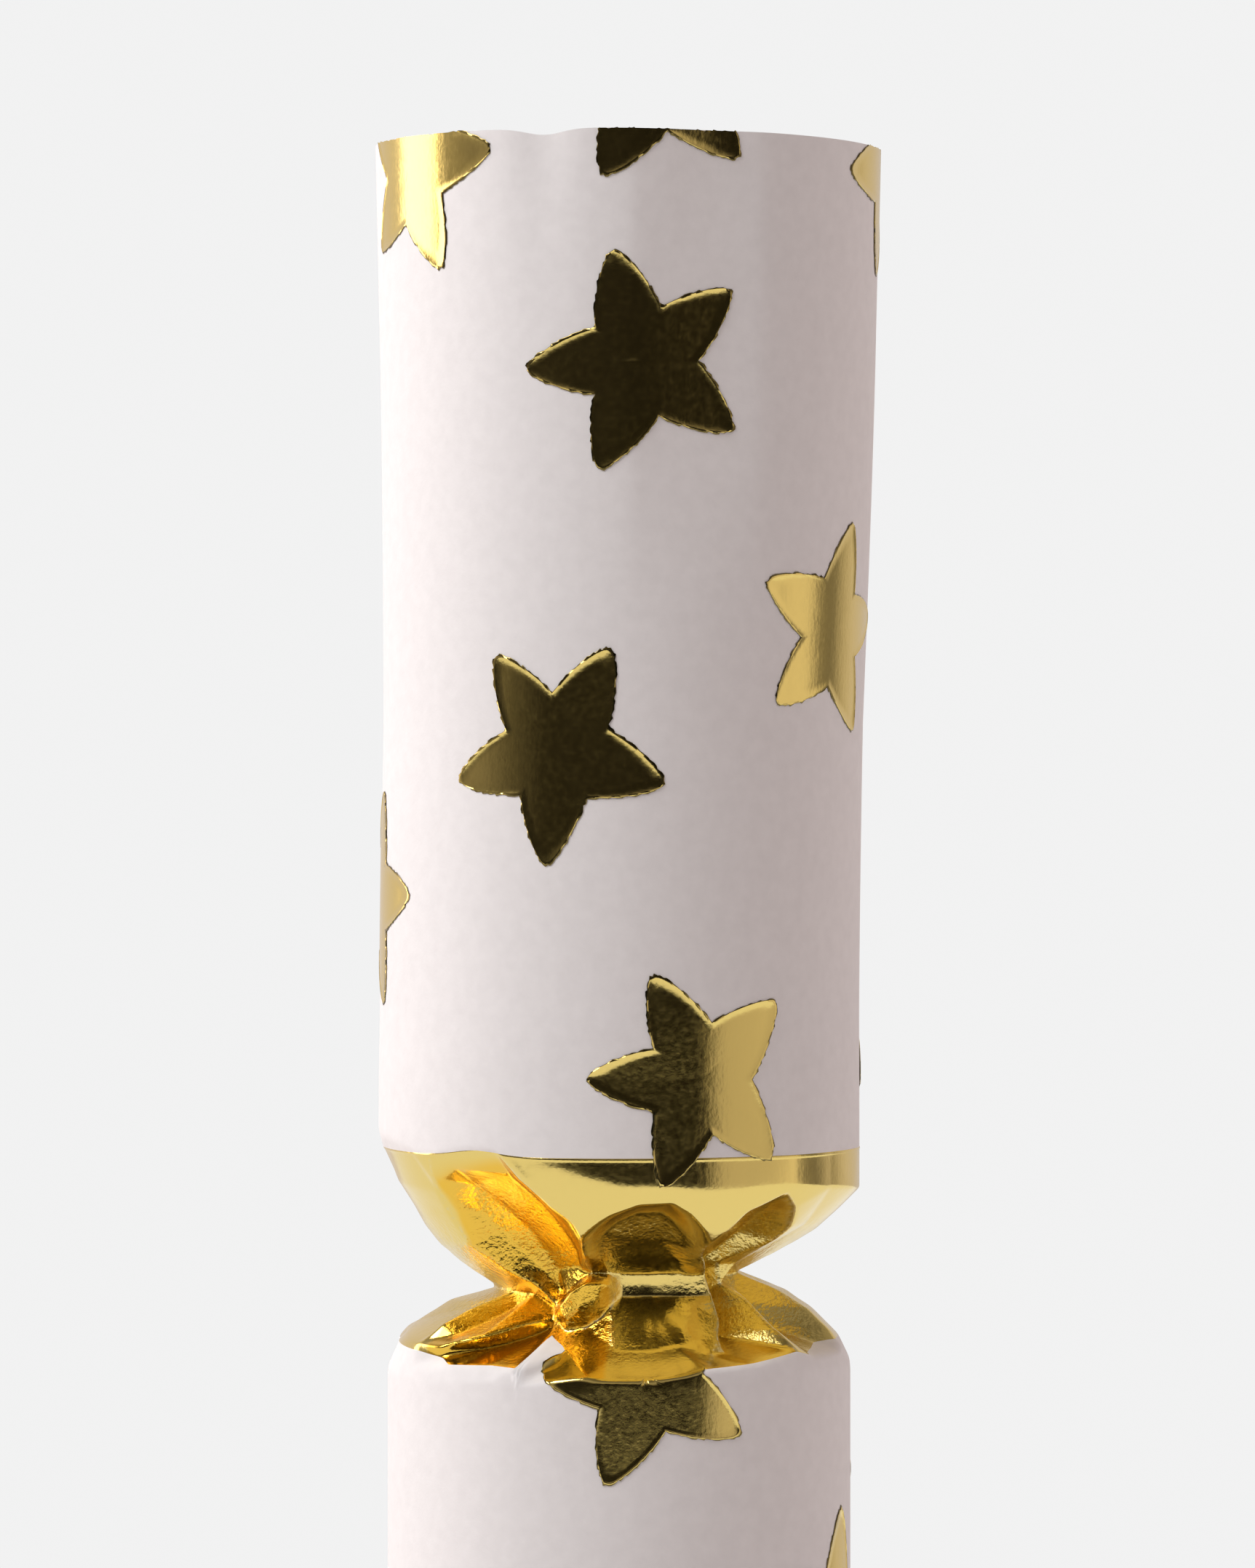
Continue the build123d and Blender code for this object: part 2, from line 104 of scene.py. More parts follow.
# Creases of a choke's gathered paper over its front half, as (angle, height above the mean waist, radius).
# The paper between them is flat. The back half mirrors the front, displaced a little.
SCOOP_PEAK = (-10.3, 4.0, 17.4)
ARCH_PEAK = (25.3, 3.45, 17.0)
PINCH = (-27.1, -1.76, 11.2)
LOWER_PINCH = (-27.7, -2.62, 11.3)
SCOOP_BROW_END = (-33.6, 10.95, 19.65)
PANEL_CORNER = (22.3, -6.22, 19.2)
TOP_EDGE, BOTTOM_EDGE = 15, -10
CREASES = {
    "top_edge": tuple((angle, TOP_EDGE, END_RADIUS) for angle in range(-90, 91, 30)),
    "fold": level_run(
        END_RADIUS, (-90, 12.4), (-72, 11.9), (-60, 11.4), (-51.2, 10.85), (-44, 11.25), (-38.5, 11.5),
        (-30.4, 11.45), (-22.6, 10.9), (-15.5, 10.0), (-8.6, 8.8), (0, 7.9), (9, 7.75), (19, 7.8),
        (32, 8.2),
    ) + ((44.5, 8.4, 20.2), (61, 8.0, 19.85), (75, 7.7, END_RADIUS), (90, 7.4, END_RADIUS)),
    "left_profile": upright_run(
        -90, (TOP_EDGE, END_RADIUS), (12.4, END_RADIUS), (11, 19.65), (8.15, 18.35), (6.1, 17.05),
        (4.2, 16.0), (2.7, 14.8), (1.4, 13.3), (0.5, 11.9), (-0.4, 10.55), (-0.95, 10.3), (-1.85, 13.9),
        (-3.8, 17.0), (-5.1, 18.2), (-7.3, 19.2), (BOTTOM_EDGE, BARREL_RADIUS),
    ),
    "right_profile": upright_run(
        90, (TOP_EDGE, END_RADIUS), (7.4, END_RADIUS), (5.6, 18.2), (3.9, 16.3), (2.6, 14.1), (2.0, 11.6),
        (1.2, 9.9), (0.4, 9.9), (-0.1, 10.3), (-0.7, 12.0), (-1.0, 13.7), (-2.6, 16.0), (-4.8, 18.2),
        (-6.9, 19.2), (BOTTOM_EDGE, BARREL_RADIUS),
    ),
    "band_crease": ((44.5, 8.4, 20.2), (44.5, 10.6, 20.25), (43.5, 13.6, 20.05)),
    "band_flat": ((61, 8.0, 19.85), (61, 10.6, 19.85), (61, 13.6, 19.97)),
    # Above the waist, from left to right
    "scoop_left_rim": (
        (-51.2, 10.85, END_RADIUS), (-51.8, 8.7, 19.3), (-52.6, 7.8, 18.7), (-53.6, 6.0, 17.4),
        (-52.4, 3.2, 15.4), (-44.4, 1.03, 13.0), (-35.3, 0.05, 12.0), PINCH,
    ),
    "scoop_brow": ((-51.8, 8.7, 19.3), (-44, 9.9, 19.35), SCOOP_BROW_END),
    "scoop_crease": (
        (-52.6, 7.8, 18.7), (-48, 6.0, 15.3), (-44.5, 4.4, 13.6), (-39.5, 2.6, 12.1), (-33.5, 1.0, 10.9),
        (-30.4, -0.4, 10.3),
    ),
    "scoop_floor": (
        (-44, 8.4, 17.0), (-40, 6.6, 14.8), (-35.5, 4.8, 12.9), (-31.5, 3.0, 11.5), (-28.6, 1.2, 10.4),
        (-27.9, -0.4, 10.0),
    ),
    "scoop_wall": (
        SCOOP_BROW_END, (-28.7, 9.3, 18.0), (-23, 6.9, 15.6), (-19, 4.8, 13.6), (-16, 3.0, 12.0),
        (-16.2, 1.5, 11.0),
    ),
    "scoop_right_rim": (
        (-30.4, 11.45, END_RADIUS), (-23.3, 8.9, 19.75), (-16.8, 6.8, 19.1), (-12.8, 5.75, 18.6),
        SCOOP_PEAK, (-10.8, 2.65, 15.4), (-11.2, 1.0, 11.0),
    ),
    "arch": (
        SCOOP_PEAK, (-6.2, 5.1, 18.2), (-2.1, 6.1, 18.9), (5.0, 7.05, 19.5), (12.7, 7.15, 19.55),
        (17.5, 6.2, 19.0), (21.6, 5.0, 18.3), ARCH_PEAK,
    ),
    "dome_top": (
        (-8.4, 3.5, 15.0), (-4.9, 4.6, 15.5), (-1.1, 5.6, 15.9), (5.5, 6.5, 16.1), (12.3, 6.55, 16.1),
        (16.5, 5.65, 15.7), (20.3, 4.55, 15.3), (23.6, 3.2, 14.6),
    ),
    "dome_middle": ((-6.8, 2.4, 12.5), (5, 3.9, 13.75), (14, 3.9, 13.7), (23, 2.2, 12.2)),
    "neck_top": ((1.2, 1.08, 10.75), (14, 1.08, 10.72), (28, 1.05, 11.4)),
    "neck_light": ((1.2, 0.95, 10.65), (14, 0.95, 10.6), (30, 0.9, 11.42)),
    "neck_low": ((1.2, 0.05, 10.48), (14, 0.05, 10.44), (31, 0.0, 11.35)),
    "right_arch_left": (ARCH_PEAK, (29.7, 4.77, 18.2), (33.8, 6.35, 19.1), (43.8, 7.75, 19.85)),
    "right_arch_right": (
        (43.8, 7.75, 19.85), (48.8, 6.6, 19.2), (54.2, 4.8, 17.4), (54.9, 3.6, 15.6), (55.8, 1.7, 11.8),
    ),
    "right_arch_wall": ((29.0, 3.2, 13.0), (32.6, 4.6, 14.6), (36.2, 6.0, 16.0), (43.5, 7.1, 17.4)),
    "right_arch_floor": ((46.8, 6.0, 15.6), (47.5, 4.4, 13.2), (45.0, 3.0, 11.4), (39.5, 2.0, 10.3)),
    "right_crease": ((67.0, 4.74, 16.6), (71, 6.84, 19.0)),
    # Below the waist, from left to right
    "left_groove": ((-90, -0.95, 10.3), (-60, -0.8, 10.2), (-42, -0.9, 10.2), (-31, -1.7, 10.3)),
    "lobe_top": ((-60, -1.6, 12.0), (-59, -2.0, 14.4), (-58, -3.2, 17.2), (-61, -4.85, 18.9)),
    "lobe_hollow": ((-50, -2.0, 11.0), (-50.5, -3.0, 13.6), (-53, -4.1, 16.7)),
    "lobe_ridge": (
        (-52, -4.95, 18.6), (-42.4, -4.09, 16.8), (-36.1, -3.29, 14.4), (-30.9, -2.9, 12.4), LOWER_PINCH,
    ),
    "pocket": ((-52, -5.75, 18.2), (-42.8, -5.0, 14.6), (-34, -4.1, 12.0), (-29.4, -3.5, 11.2)),
    "pocket_side": ((-29.5, -4.4, 13.0), (-28, -5.6, 16.6)),
    "lip": (
        (-62, -6.6, 19.1), (-54.4, -6.95, 19.1), (-47.5, -6.3, 18.95), (-34, -6.18, 18.7),
        (-25.4, -6.28, 19.15),
    ),
    "tongue_left": (
        LOWER_PINCH, (-24.8, -3.85, 13.2), (-24.0, -4.9, 16.0), (-24.7, -5.5, 17.7),
        (-25.4, -6.28, 19.15),
    ),
    "knob_outline": (
        PINCH, (-21, -0.75, 11.4), (-16.4, 0.3, 11.4), (-11.2, 1.0, 11.0), (-4, 0.95, 11.2),
        (-0.7, 0.2, 11.0), (-2.9, -1.5, 11.5), (-7.1, -2.6, 11.9), (-12.9, -3.4, 12.2),
        (-20.2, -3.7, 12.4), LOWER_PINCH,
    ),
    "knob_crest": (
        (-22.5, -1.5, 12.6), (-17.5, -0.35, 13.5), (-12, 0.45, 13.8), (-6, 0.4, 13.3), (-2.8, 0.1, 12.3),
    ),
    "knob_side": ((-20, -2.6, 12.9), (-14, -1.5, 13.5), (-7.5, -1.0, 12.9)),
    "panel_left": ((-20.2, -3.7, 12.4), (-14.6, -5.15, 15.4), (-8.4, -6.85, 19.15)),
    "panel_crease": ((-2.9, -1.5, 11.5), (-2.2, -2.9, 12.5), (-1.2, -5.0, 14.5), (-1.4, -6.85, 18.5)),
    "neck_dark": ((1.2, -0.95, 10.5), (15, -0.95, 10.46), (32, -1.0, 11.4)),
    "panel_top": ((1.2, -1.4, 10.95), (14, -1.4, 10.9), (31, -1.45, 11.85)),
    "panel_low": ((-1.2, -5.0, 14.5), (10.5, -5.1, 14.55), (19, -4.75, 14.5), (26, -4.2, 14.5)),
    "panel_foot": ((-1.4, -6.85, 18.5), (8, -6.9, 18.6), (16.5, -6.5, 18.5)),
    "panel_right_edge": (
        ARCH_PEAK, (29.2, 2.3, 14.2), (36.7, 0.87, 11.9), (39.5, -0.82, 12.0), (38.5, -2.8, 13.3),
        (33.6, -4.3, 14.7), (27.2, -5.4, 16.4), (23.8, -6.0, 17.9), PANEL_CORNER,
    ),
    "panel_rim": (
        (-8.4, -6.85, 19.15), (-6, -7.1, BARREL_RADIUS), (7, -7.1, BARREL_RADIUS), (15.8, -6.75, 19.22),
        PANEL_CORNER,
    ),
    "right_gutter": (
        (42.5, 0.5, 8.8), (45, -1.0, 9.2), (44.5, -2.6, 10.3), (41, -4.2, 12.0), (34, -5.5, 15.8),
    ),
    "right_ridge": (
        (46.7, 1.6, 11.0), (49.7, -0.16, 10.9), (52.3, -1.38, 13.4), (50.1, -3.38, 16.4),
        (50.8, -5.25, 18.9),
    ),
    "right_hollow": (
        (62, 0.4, 9.0), (65, -1.7, 10.8), (64.5, -3.4, 12.3), (60.5, -4.8, 16.0), (57, -5.5, 18.4),
    ),
    "right_outer_ridge": (
        (76, 0.5, 9.9), (79, -0.9, 13.4), (78, -2.4, 15.9), (78, -4.2, 17.8), (76, -5.5, 18.9),
    ),
    "right_lip": (
        PANEL_CORNER, (35.3, -6.05, 19.1), (50.8, -5.25, 18.9), (57, -5.9, 19.0), (74, -5.8, 19.0),
    ),
    "shoulder": level_run(
        BARREL_RADIUS, (-90, -8.0), (-72, -7.7), (-54, -7.8), (-34, -7.5), (-24, -7.5), (-8, -8.0),
        (7, -8.0), (22, -7.4), (36, -7.2), (51, -6.8), (70, -7.0), (90, -7.6),
    ),
    "bottom_edge": tuple((angle, BOTTOM_EDGE, BARREL_RADIUS) for angle in range(-90, 91, 30)),
}
WORN_CREASES = {  # creases where the foil has cracked, and how much
    "knob_outline": 0.4, "panel_right_edge": 0.4, "right_arch_right": 0.3, "right_ridge": 0.4,
    "scoop_left_rim": 0.2, "scoop_right_rim": 0.2,
}
TEAR = (  # where the waist tears, as (angle, height)
    (-90, -0.9), (-60, -0.8), (-42, -0.9), (-31, -1.7), (-27.1, -1.8), (-21, -0.75), (-16.4, 0.3),
    (-11.2, 1.0), (-4, 0.95), (0, 0.4), (15, 0.3), (36, 0.2), (47, 0.7), (57, 0.6), (75, 0.5), (90, 0.4),
)
GOLD_FOOT = (  # where the gold print ends on the barrel, as (angle, depth)
    (-90, 5.1), (-79, 5.2), (-61, 5.4), (-51.5, 5.9), (-47.5, 6.3), (-34, 6.15), (-26.2, 6.25),
    (-24.4, 3.9), (-18, 4.7), (-8.4, 6.85), (-6, 7.1), (7, 7.1), (20, 6.3), (35.3, 6.0), (50.5, 5.3),
    (56, 5.65), (75, 4.9), (90, 4.7),
)
TEAR_RAGGED, TEAR_WAVES = 0.3, (9, 23, 41, 67, 97)
BACK_SHIFT = 16  # how far the folds of the back are displaced at its middle
FLAT_DEGREE = 0.22  # width of a degree round the choke
MAP_TURN, MAP_RISE = 0.4, 0.08  # steps of the fold map
MAP_ANGLES = np.arange(-90, 90 + MAP_TURN / 2, MAP_TURN)
MAP_HEIGHTS = np.arange(BOTTOM_EDGE, TOP_EDGE + MAP_RISE / 2, MAP_RISE)
CREASE_SOFTNESS = 1.6  # in steps of the map
FOLD_SOFTNESS = 8.0  # the bend below the band is rounder over the front
FOLD_REACH = 1.1  # how far the round bend reaches
FOLD_MIDDLE, FOLD_HALF_WIDTH = -2, 30
CRISP_EDGES = ("arch", "scoop_right_rim", "right_arch_left")  # edges below it that it spares
EDGE_REACH = 0.5
WEAR_WIDTH = 0.08
LOWER_TURN = 140  # the lower choke's folds lie this much further round

# Crumpling of the gathered foil
CRUMPLE_WAVES, CRUMPLE_SEED = 8, 11
CRUMPLE_LENGTHS = (1.6, 5.0)
CRUMPLE_SLOPE = 0.005
CALM_DEPTH, ROUGH_DEPTH = 1.5, 6.0  # how far in the paper is gathered where crumpling starts and is full
CALM_MIDDLE, CALM_HALF_WIDTH, CALM = 15, 20, 0.95  # the tongue in front is smoother
DOME_GRAIN, DOME_START, DOME_FULL = 0.6, 1.8, 3.0  # how much of that the dome above it loses, and where
# Painted reflection: the gold in the folds on the left is painted a deeper amber for the light they
# reflect into each other. Its left and right ends by height, and how deep the folds are where it starts
GLOW_LEFT = ((-8, -58), (2.6, -58), (3.6, -53), (12, -51.5))
GLOW_RIGHT = ((-8, -3), (0.9, -3), (1.0, -11.2), (4.0, -10.3), (5.75, -12.8), (6.8, -16.8), (8.9, -23.3),
              (11.45, -30.4))
GLOW_EDGE = 1.2
GLOW_START, GLOW_FULL = 0.2, 1.3

# Foil stars, as (angle, height, tips): the height is above the upper waist on the upper end, above the
# lower waist on the barrel and below it on the lower end. The tips are the directions of the five arms,
# or that of the first one where they are even.
STAR_REACH = 9.2
ARM_POINT = 9.85  # where the straight edges of an arm would meet
NOTCH_REACH = 4.55
ARM_BULGE = 0.36
TIP_ROUNDING = 0.125
HALF_ARMS, ARM_STEPS = 10, 20
STAR_RINGS = (1.0, 0.96, 0.92, 0.78, 0.64, 0.5, 0.36, 0.22, 0.1)  # fringe, crest, toe, then inwards
FRINGE_REACH = 0.16
FRINGE_RAGGED = 0.16
TOE_INSET = 0.15
FRINGE_PROUD, CREST_PROUD, TOE_PROUD = 0.02, 0.08, 0.035
PRINT_OVERLAP = 0.15
EVEN_TIPS = (0, 72, 144, 216, 288)
UPPER_STARS = (
    (3.4, 75.1, (39, 104.5, 183, 249, 324)), (-15.6, 43.8, (62, 125, 195, 266, 343)),
    (58.5, 53.6, (8, 73, 155, 220, 298)), (19.2, 17.3, (41, 116, 180, 250, 315)), (-87, 31.5, 3),
    (-58, 91.4, 7), (6.8, 98.4, 27), (87, 92.2, 40), (125, 68, 14), (150, 88, 51), (156, 42, 30),
    (214, 51, 62), (238, 73, 20), (112, 20, 58), (222, 21, 5),
)
BARREL_STARS = (
    (6.8, 110.2, (38, 108, 176, 249, 329)), (68, 89.2, 82), (-17, 80, 54), (27, 54, 36), (-86, 69, 3),
    (-45, 45, 25), (5, 27, 66), (66, 28, 12), (-78, 22, 48), (120, 100, 30), (105, 58, 64),
    (150, 74, 10), (148, 32, 42), (216, 96, 22), (236, 66, 57), (214, 40, 4), (250, 18, 33),
)
LOWER_STARS = (
    (-8, 26, 50), (30, 50, 12), (-34, 57, 31), (4, 81, 68), (75, 78, 24), (84, 30, 6), (-74, 86, 40),
    (-84, 34, 60), (122, 56, 18), (150, 88, 45), (140, 24, 2), (216, 30, 35), (222, 66, 64),
    (255, 48, 15), (214, 95, 54),
)

# Fillings
CROWN_TURNS, CROWN_TISSUE, CROWN_CORE = 7.3, 0.16, 1.7
CROWN_TEETH, CROWN_TOOTH_DEPTH = 2.25, 9.0  # teeth to each turn
MOTTO_TURNS, MOTTO_PAPER, MOTTO_CORE = 3.4, 0.14, 1.85
BAND_LOOPS = ((-0.75, 4.0), (0.0, -5.0), (0.75, 2.5))  # height from the band's middle and tilt
BAND_CORD = 0.27

# Finishes: dark and light shade, roughness, size of the grain, its relief and its stretch
PLAIN_FINISHES = {
    "tube_card": ((0.50, 0.44, 0.36), (0.62, 0.56, 0.47), 0.85, 0.5, 0.05),
    "snap_card": ((0.42, 0.36, 0.28), (0.52, 0.45, 0.36), 0.85, 0.4, 0.04),
    "snap_paper": ((0.66, 0.62, 0.55), (0.76, 0.72, 0.65), 0.8, 0.4, 0.03),
    "charge_coat": ((0.05, 0.05, 0.055), (0.12, 0.12, 0.12), 0.75, 0.15, 0.05),
    "striker_coat": ((0.18, 0.06, 0.04), (0.28, 0.10, 0.07), 0.8, 0.15, 0.05),
    "crown_tissue": ((0.52, 0.02, 0.03), (0.66, 0.05, 0.05), 0.7, 0.9, 0.06),
    "band_rubber": ((0.60, 0.42, 0.22), (0.70, 0.52, 0.30), 0.5, 0.6, 0.02),
    "motto_paper": ((0.84, 0.82, 0.76), (0.90, 0.88, 0.83), 0.75, 0.4, 0.02),
    "disc_paint": ((0.50, 0.03, 0.025), (0.58, 0.05, 0.04), 0.28, 3.0, 0.02),
    "peg_wood": ((0.55, 0.36, 0.18), (0.70, 0.50, 0.29), 0.55, 0.35, 0.04, (1, 1, 0.08)),
}
NODE_FINISHES = {  # for the CAD nodes that stay in view
    "barrel_tube": "tube_card", "snap_upper_strip": "snap_card", "snap_lower_strip": "snap_card",
    "snap_sleeve": "snap_paper", "snap_charge": "charge_coat", "snap_striker": "striker_coat",
    "top_disc": "disc_paint", "top_peg": "peg_wood",
}
MOTTLE_RANGE = (0.3, 0.7)  # where a finish turns from its dark shade to its light one
MOTTLE_SIZE = 4  # in grains

# Camera, matched to the photograph's framing
CAMERA_DISTANCE = 600
CAMERA_X = 0.7
CAMERA_Z = 254.3
AIM_Z = 252.0
LENS = 165.4
SENSOR = 36.0
CLIP_START = 10

# Studio
BACKGROUND = 0.885
FLOOR_RADIUS = 1200
MIRRORED_FLOOR = 0.95  # how bright the foil shows the floor
STUDIO_TINT = (1.0, 0.92, 0.89)
OVERHEAD = ((0.25, 0.0), (0.5, 0.34), (0.68, 0.34), (0.9, 0.14))  # steepness and how bright it is
BACKDROP_RISE = 0.5  # how much higher the walls reach behind the cracker
STUDIO_AZIMUTHS = (
    (-180, 0.75), (-134, 0.75), (-128, 0.70), (-124, 3.6), (-102, 3.6), (-96, 0.40), (-84, 0.28),
    (-72, 0.22), (-56, 0.09), (-40, 0.02), (41, 0.012), (50, 0.58), (74, 0.64), (86, 0.84), (98, 0.86),
    (105, 0.30), (110, 0.20), (118, 0.22), (126, 0.52), (136, 0.68), (150, 0.66), (180, 0.60),
)
KEY_LAMP = (-60, 47, 8.5, 600, (1, 1, 1))  # azimuth, elevation, power, size and colour
FILL_LAMP = (97, 45, 2.5, 1400, (1, 0.74, 0.68))
LAMP_DISTANCE = 1100


def near(angle, centre):
    """How far an angle is round from another, between -180 and 180."""
    return (angle - centre + 180) % 360 - 180


def bell(angle, centre, half_width):
    """1 at an angle, falling off smoothly to both sides of it."""
    return np.exp(-(near(angle, centre) / half_width) ** 2)


def smooth(value, start, end):
    """0 before the start, 1 after the end, and an even S between."""
    share = np.clip((value - start) / (end - start), 0, 1)
    return share * share * (3 - 2 * share)


def fill_facet(field, corners, levels):
    """Fills a flat three-cornered facet of the fold map."""
    (ax, ay), (bx, by), (cx, cy) = corners
    hair = 1e-6
    across = MAP_ANGLES * FLAT_DEGREE
    inner_columns = (across > min(ax, bx, cx) - hair) & (across < max(ax, bx, cx) + hair)
    inner_rows = (MAP_HEIGHTS > min(ay, by, cy) - hair) & (MAP_HEIGHTS < max(ay, by, cy) + hair)
    block = np.ix_(inner_rows, inner_columns)
    x, y = np.meshgrid(across[inner_columns], MAP_HEIGHTS[inner_rows])
    area = (bx - ax) * (cy - ay) - (cx - ax) * (by - ay)
    to_b = ((x - ax) * (cy - ay) - (cx - ax) * (y - ay)) / area
    to_c = ((bx - ax) * (y - ay) - (x - ax) * (by - ay)) / area
    inside = (to_b > -hair) & (to_c > -hair) & (to_b + to_c < 1 + hair)
    level = levels[0] + to_b * (levels[1] - levels[0]) + to_c * (levels[2] - levels[0])
    field[block] = np.where(inside, level, field[block])


def softened(field, reach):
    """Rounds the creases of a map over a reach given in its steps."""
    margin = int(3 * reach)
    taps = np.arange(-margin, margin + 1)
    weights = np.exp(-(taps / reach) ** 2 / 2)
    weights /= weights.sum()
    for axis in (0, 1):
        wide = np.pad(field, [(margin, margin) if i == axis else (0, 0) for i in (0, 1)], mode="edge")
        field = np.apply_along_axis(lambda line: np.convolve(line, weights, "valid"), axis, wide)
    return field


def fold_map():
    """Radius of the gathered paper over the front half of a choke: flat facets between its creases."""
    places, radii, pairs = [], [], []
    for crease in CREASES.values():
        first = len(places)
        for angle, height, radius in crease:
            places.append(Vector((angle * FLAT_DEGREE, height)))
            radii.append(radius)
        pairs += [(i, i + 1) for i in range(first, len(places) - 1)]
    whole_hull, hair = 0, 1e-4
    corners, _, facets, sources, _, _ = delaunay_2d_cdt(places, pairs, [], whole_hull, hair)
    levels = [radii[source[0]] for source in sources]
    field = np.zeros((len(MAP_HEIGHTS), len(MAP_ANGLES)))
    for facet in facets:
        fill_facet(field, [corners[i] for i in facet], [levels[i] for i in facet])
    at_bend = np.exp(-(crease_gap("fold") / FOLD_REACH) ** 2)
    at_bend = at_bend * bell(MAP_ANGLES, FOLD_MIDDLE, FOLD_HALF_WIDTH)
    for edge in CRISP_EDGES:
        at_bend = at_bend * (1 - np.exp(-(crease_gap(edge) / EDGE_REACH) ** 2))
    crisp, bent = softened(field, CREASE_SOFTNESS), softened(field, FOLD_SOFTNESS)
    return crisp + at_bend * (bent - crisp)


def crease_gap(name):
    """How far each step of the map is from a crease."""
    x, y = np.meshgrid(MAP_ANGLES * FLAT_DEGREE, MAP_HEIGHTS)
    nearest = np.full(x.shape, np.inf)
    for (a0, h0, _), (a1, h1, _) in zip(CREASES[name], CREASES[name][1:]):
        x0, run_x, run_y = a0 * FLAT_DEGREE, (a1 - a0) * FLAT_DEGREE, h1 - h0
        share = np.clip(((x - x0) * run_x + (y - h0) * run_y) / (run_x ** 2 + run_y ** 2), 0, 1)
        nearest = np.minimum(nearest, np.hypot(x - x0 - share * run_x, y - h0 - share * run_y))
    return nearest


def wear_map():
    """How far the foil has cracked, along the creases that are worn."""
    worn = [wear * np.exp(-(crease_gap(name) / WEAR_WIDTH) ** 2) for name, wear in WORN_CREASES.items()]
    return np.maximum.reduce(worn)


FOLD_RADIUS = fold_map()
FOLD_WEAR = wear_map()


def front_angle(angle):
    """The angle on the front half whose folds an angle shares."""
    angle = near(angle, 0)
    mirrored = np.sign(angle) * 180 - angle
    mirrored = mirrored + BACK_SHIFT * (1 - (mirrored / 90) ** 2)
    return np.where(np.abs(angle) > 90, mirrored, angle)


def read_map(field, angle, height):
    """Values of a map at angles and heights, between its steps too."""
    column = (front_angle(angle) - MAP_ANGLES[0]) / MAP_TURN
    row = (np.clip(height, BOTTOM_EDGE, TOP_EDGE) - BOTTOM_EDGE) / MAP_RISE
    column, row = np.broadcast_arrays(column, row)
    left = np.clip(column.astype(int), 0, field.shape[1] - 2)
    low = np.clip(row.astype(int), 0, field.shape[0] - 2)
    x, y = column - left, row - low
    below = field[low, left] * (1 - x) + field[low, left + 1] * x
    above = field[low + 1, left] * (1 - x) + field[low + 1, left + 1] * x
    return below * (1 - y) + above * y


def along(line, angle):
    """Height of a line round the choke, given by points on its front half."""
    angles, heights = zip(*line)
    return np.interp(front_angle(angle), angles, heights)


def gold_foot(angle):
    """Depth below the waist at which the gold print meets the barrel's white paper."""
    return along(GOLD_FOOT, angle)


def band_edge(angle):
    """Height above the waist at which the gold print meets the end's white paper."""
    centre, width, rise = BAND_PUSH
    return BAND_EDGE + rise * bell(angle, centre, width)


def tear_height(angle):
    """The ragged line along which the waist tears."""
    waves = sum(np.sin(np.radians(angle * turns) + turns) / turns for turns in TEAR_WAVES)
    return along(TEAR, angle) + TEAR_RAGGED * waves


def crumple(points):
    """Small flat-sided creases, from waves in fixed directions."""
    draw = np.random.RandomState(CRUMPLE_SEED)
    total = np.zeros(points.shape[:-1])
    for _ in range(CRUMPLE_WAVES):
        direction = draw.normal(size=3)
        length = draw.uniform(*CRUMPLE_LENGTHS)
        phase = draw.uniform(0, math.tau)
        wave = points @ (direction / np.linalg.norm(direction)) * (math.tau / length) + phase
        total += (np.abs(np.sin(wave)) - 2 / math.pi) * length * CRUMPLE_SLOPE
    return total


def around(radius, angle, height):
    """Points at a radius and an angle, stacked on a last axis."""
    turn = np.radians(angle)
    radius, turn, height = np.broadcast_arrays(radius, turn, height)
    return np.stack([radius * np.sin(turn), -radius * np.cos(turn), height], axis=-1)


def gathered_share(angle, height):
    """0 on smooth paper and 1 where a choke has drawn it far in."""
    share = smooth(END_RADIUS - read_map(FOLD_RADIUS, angle, height), CALM_DEPTH, ROUGH_DEPTH)
    dome = DOME_GRAIN * smooth(height, DOME_START, DOME_FULL)
    calm = CALM * bell(angle, CALM_MIDDLE, CALM_HALF_WIDTH) * (1 - dome)
    return share * (1 - calm)


def painted_glow_share(angle, height):
    """1 in the folds on the left, where a painted reflection makes the gold a deeper amber for the light
    the folds reflect into each other.
    """
    turn = front_angle(angle)
    start, end = (np.interp(height, *zip(*edge)) for edge in (GLOW_LEFT, GLOW_RIGHT))
    wide = smooth(turn - start, 0, GLOW_EDGE) * smooth(end - turn, 0, GLOW_EDGE)
    return wide * smooth(END_RADIUS - read_map(FOLD_RADIUS, angle, height), GLOW_START, GLOW_FULL)


def paper_radius(angle, height):
    """Radius of the wrapper at a height above a choke's waist, or below it towards the barrel."""
    radius = read_map(FOLD_RADIUS, angle, height)
    return radius + crumple(around(radius, angle, height)) * gathered_share(angle, height)


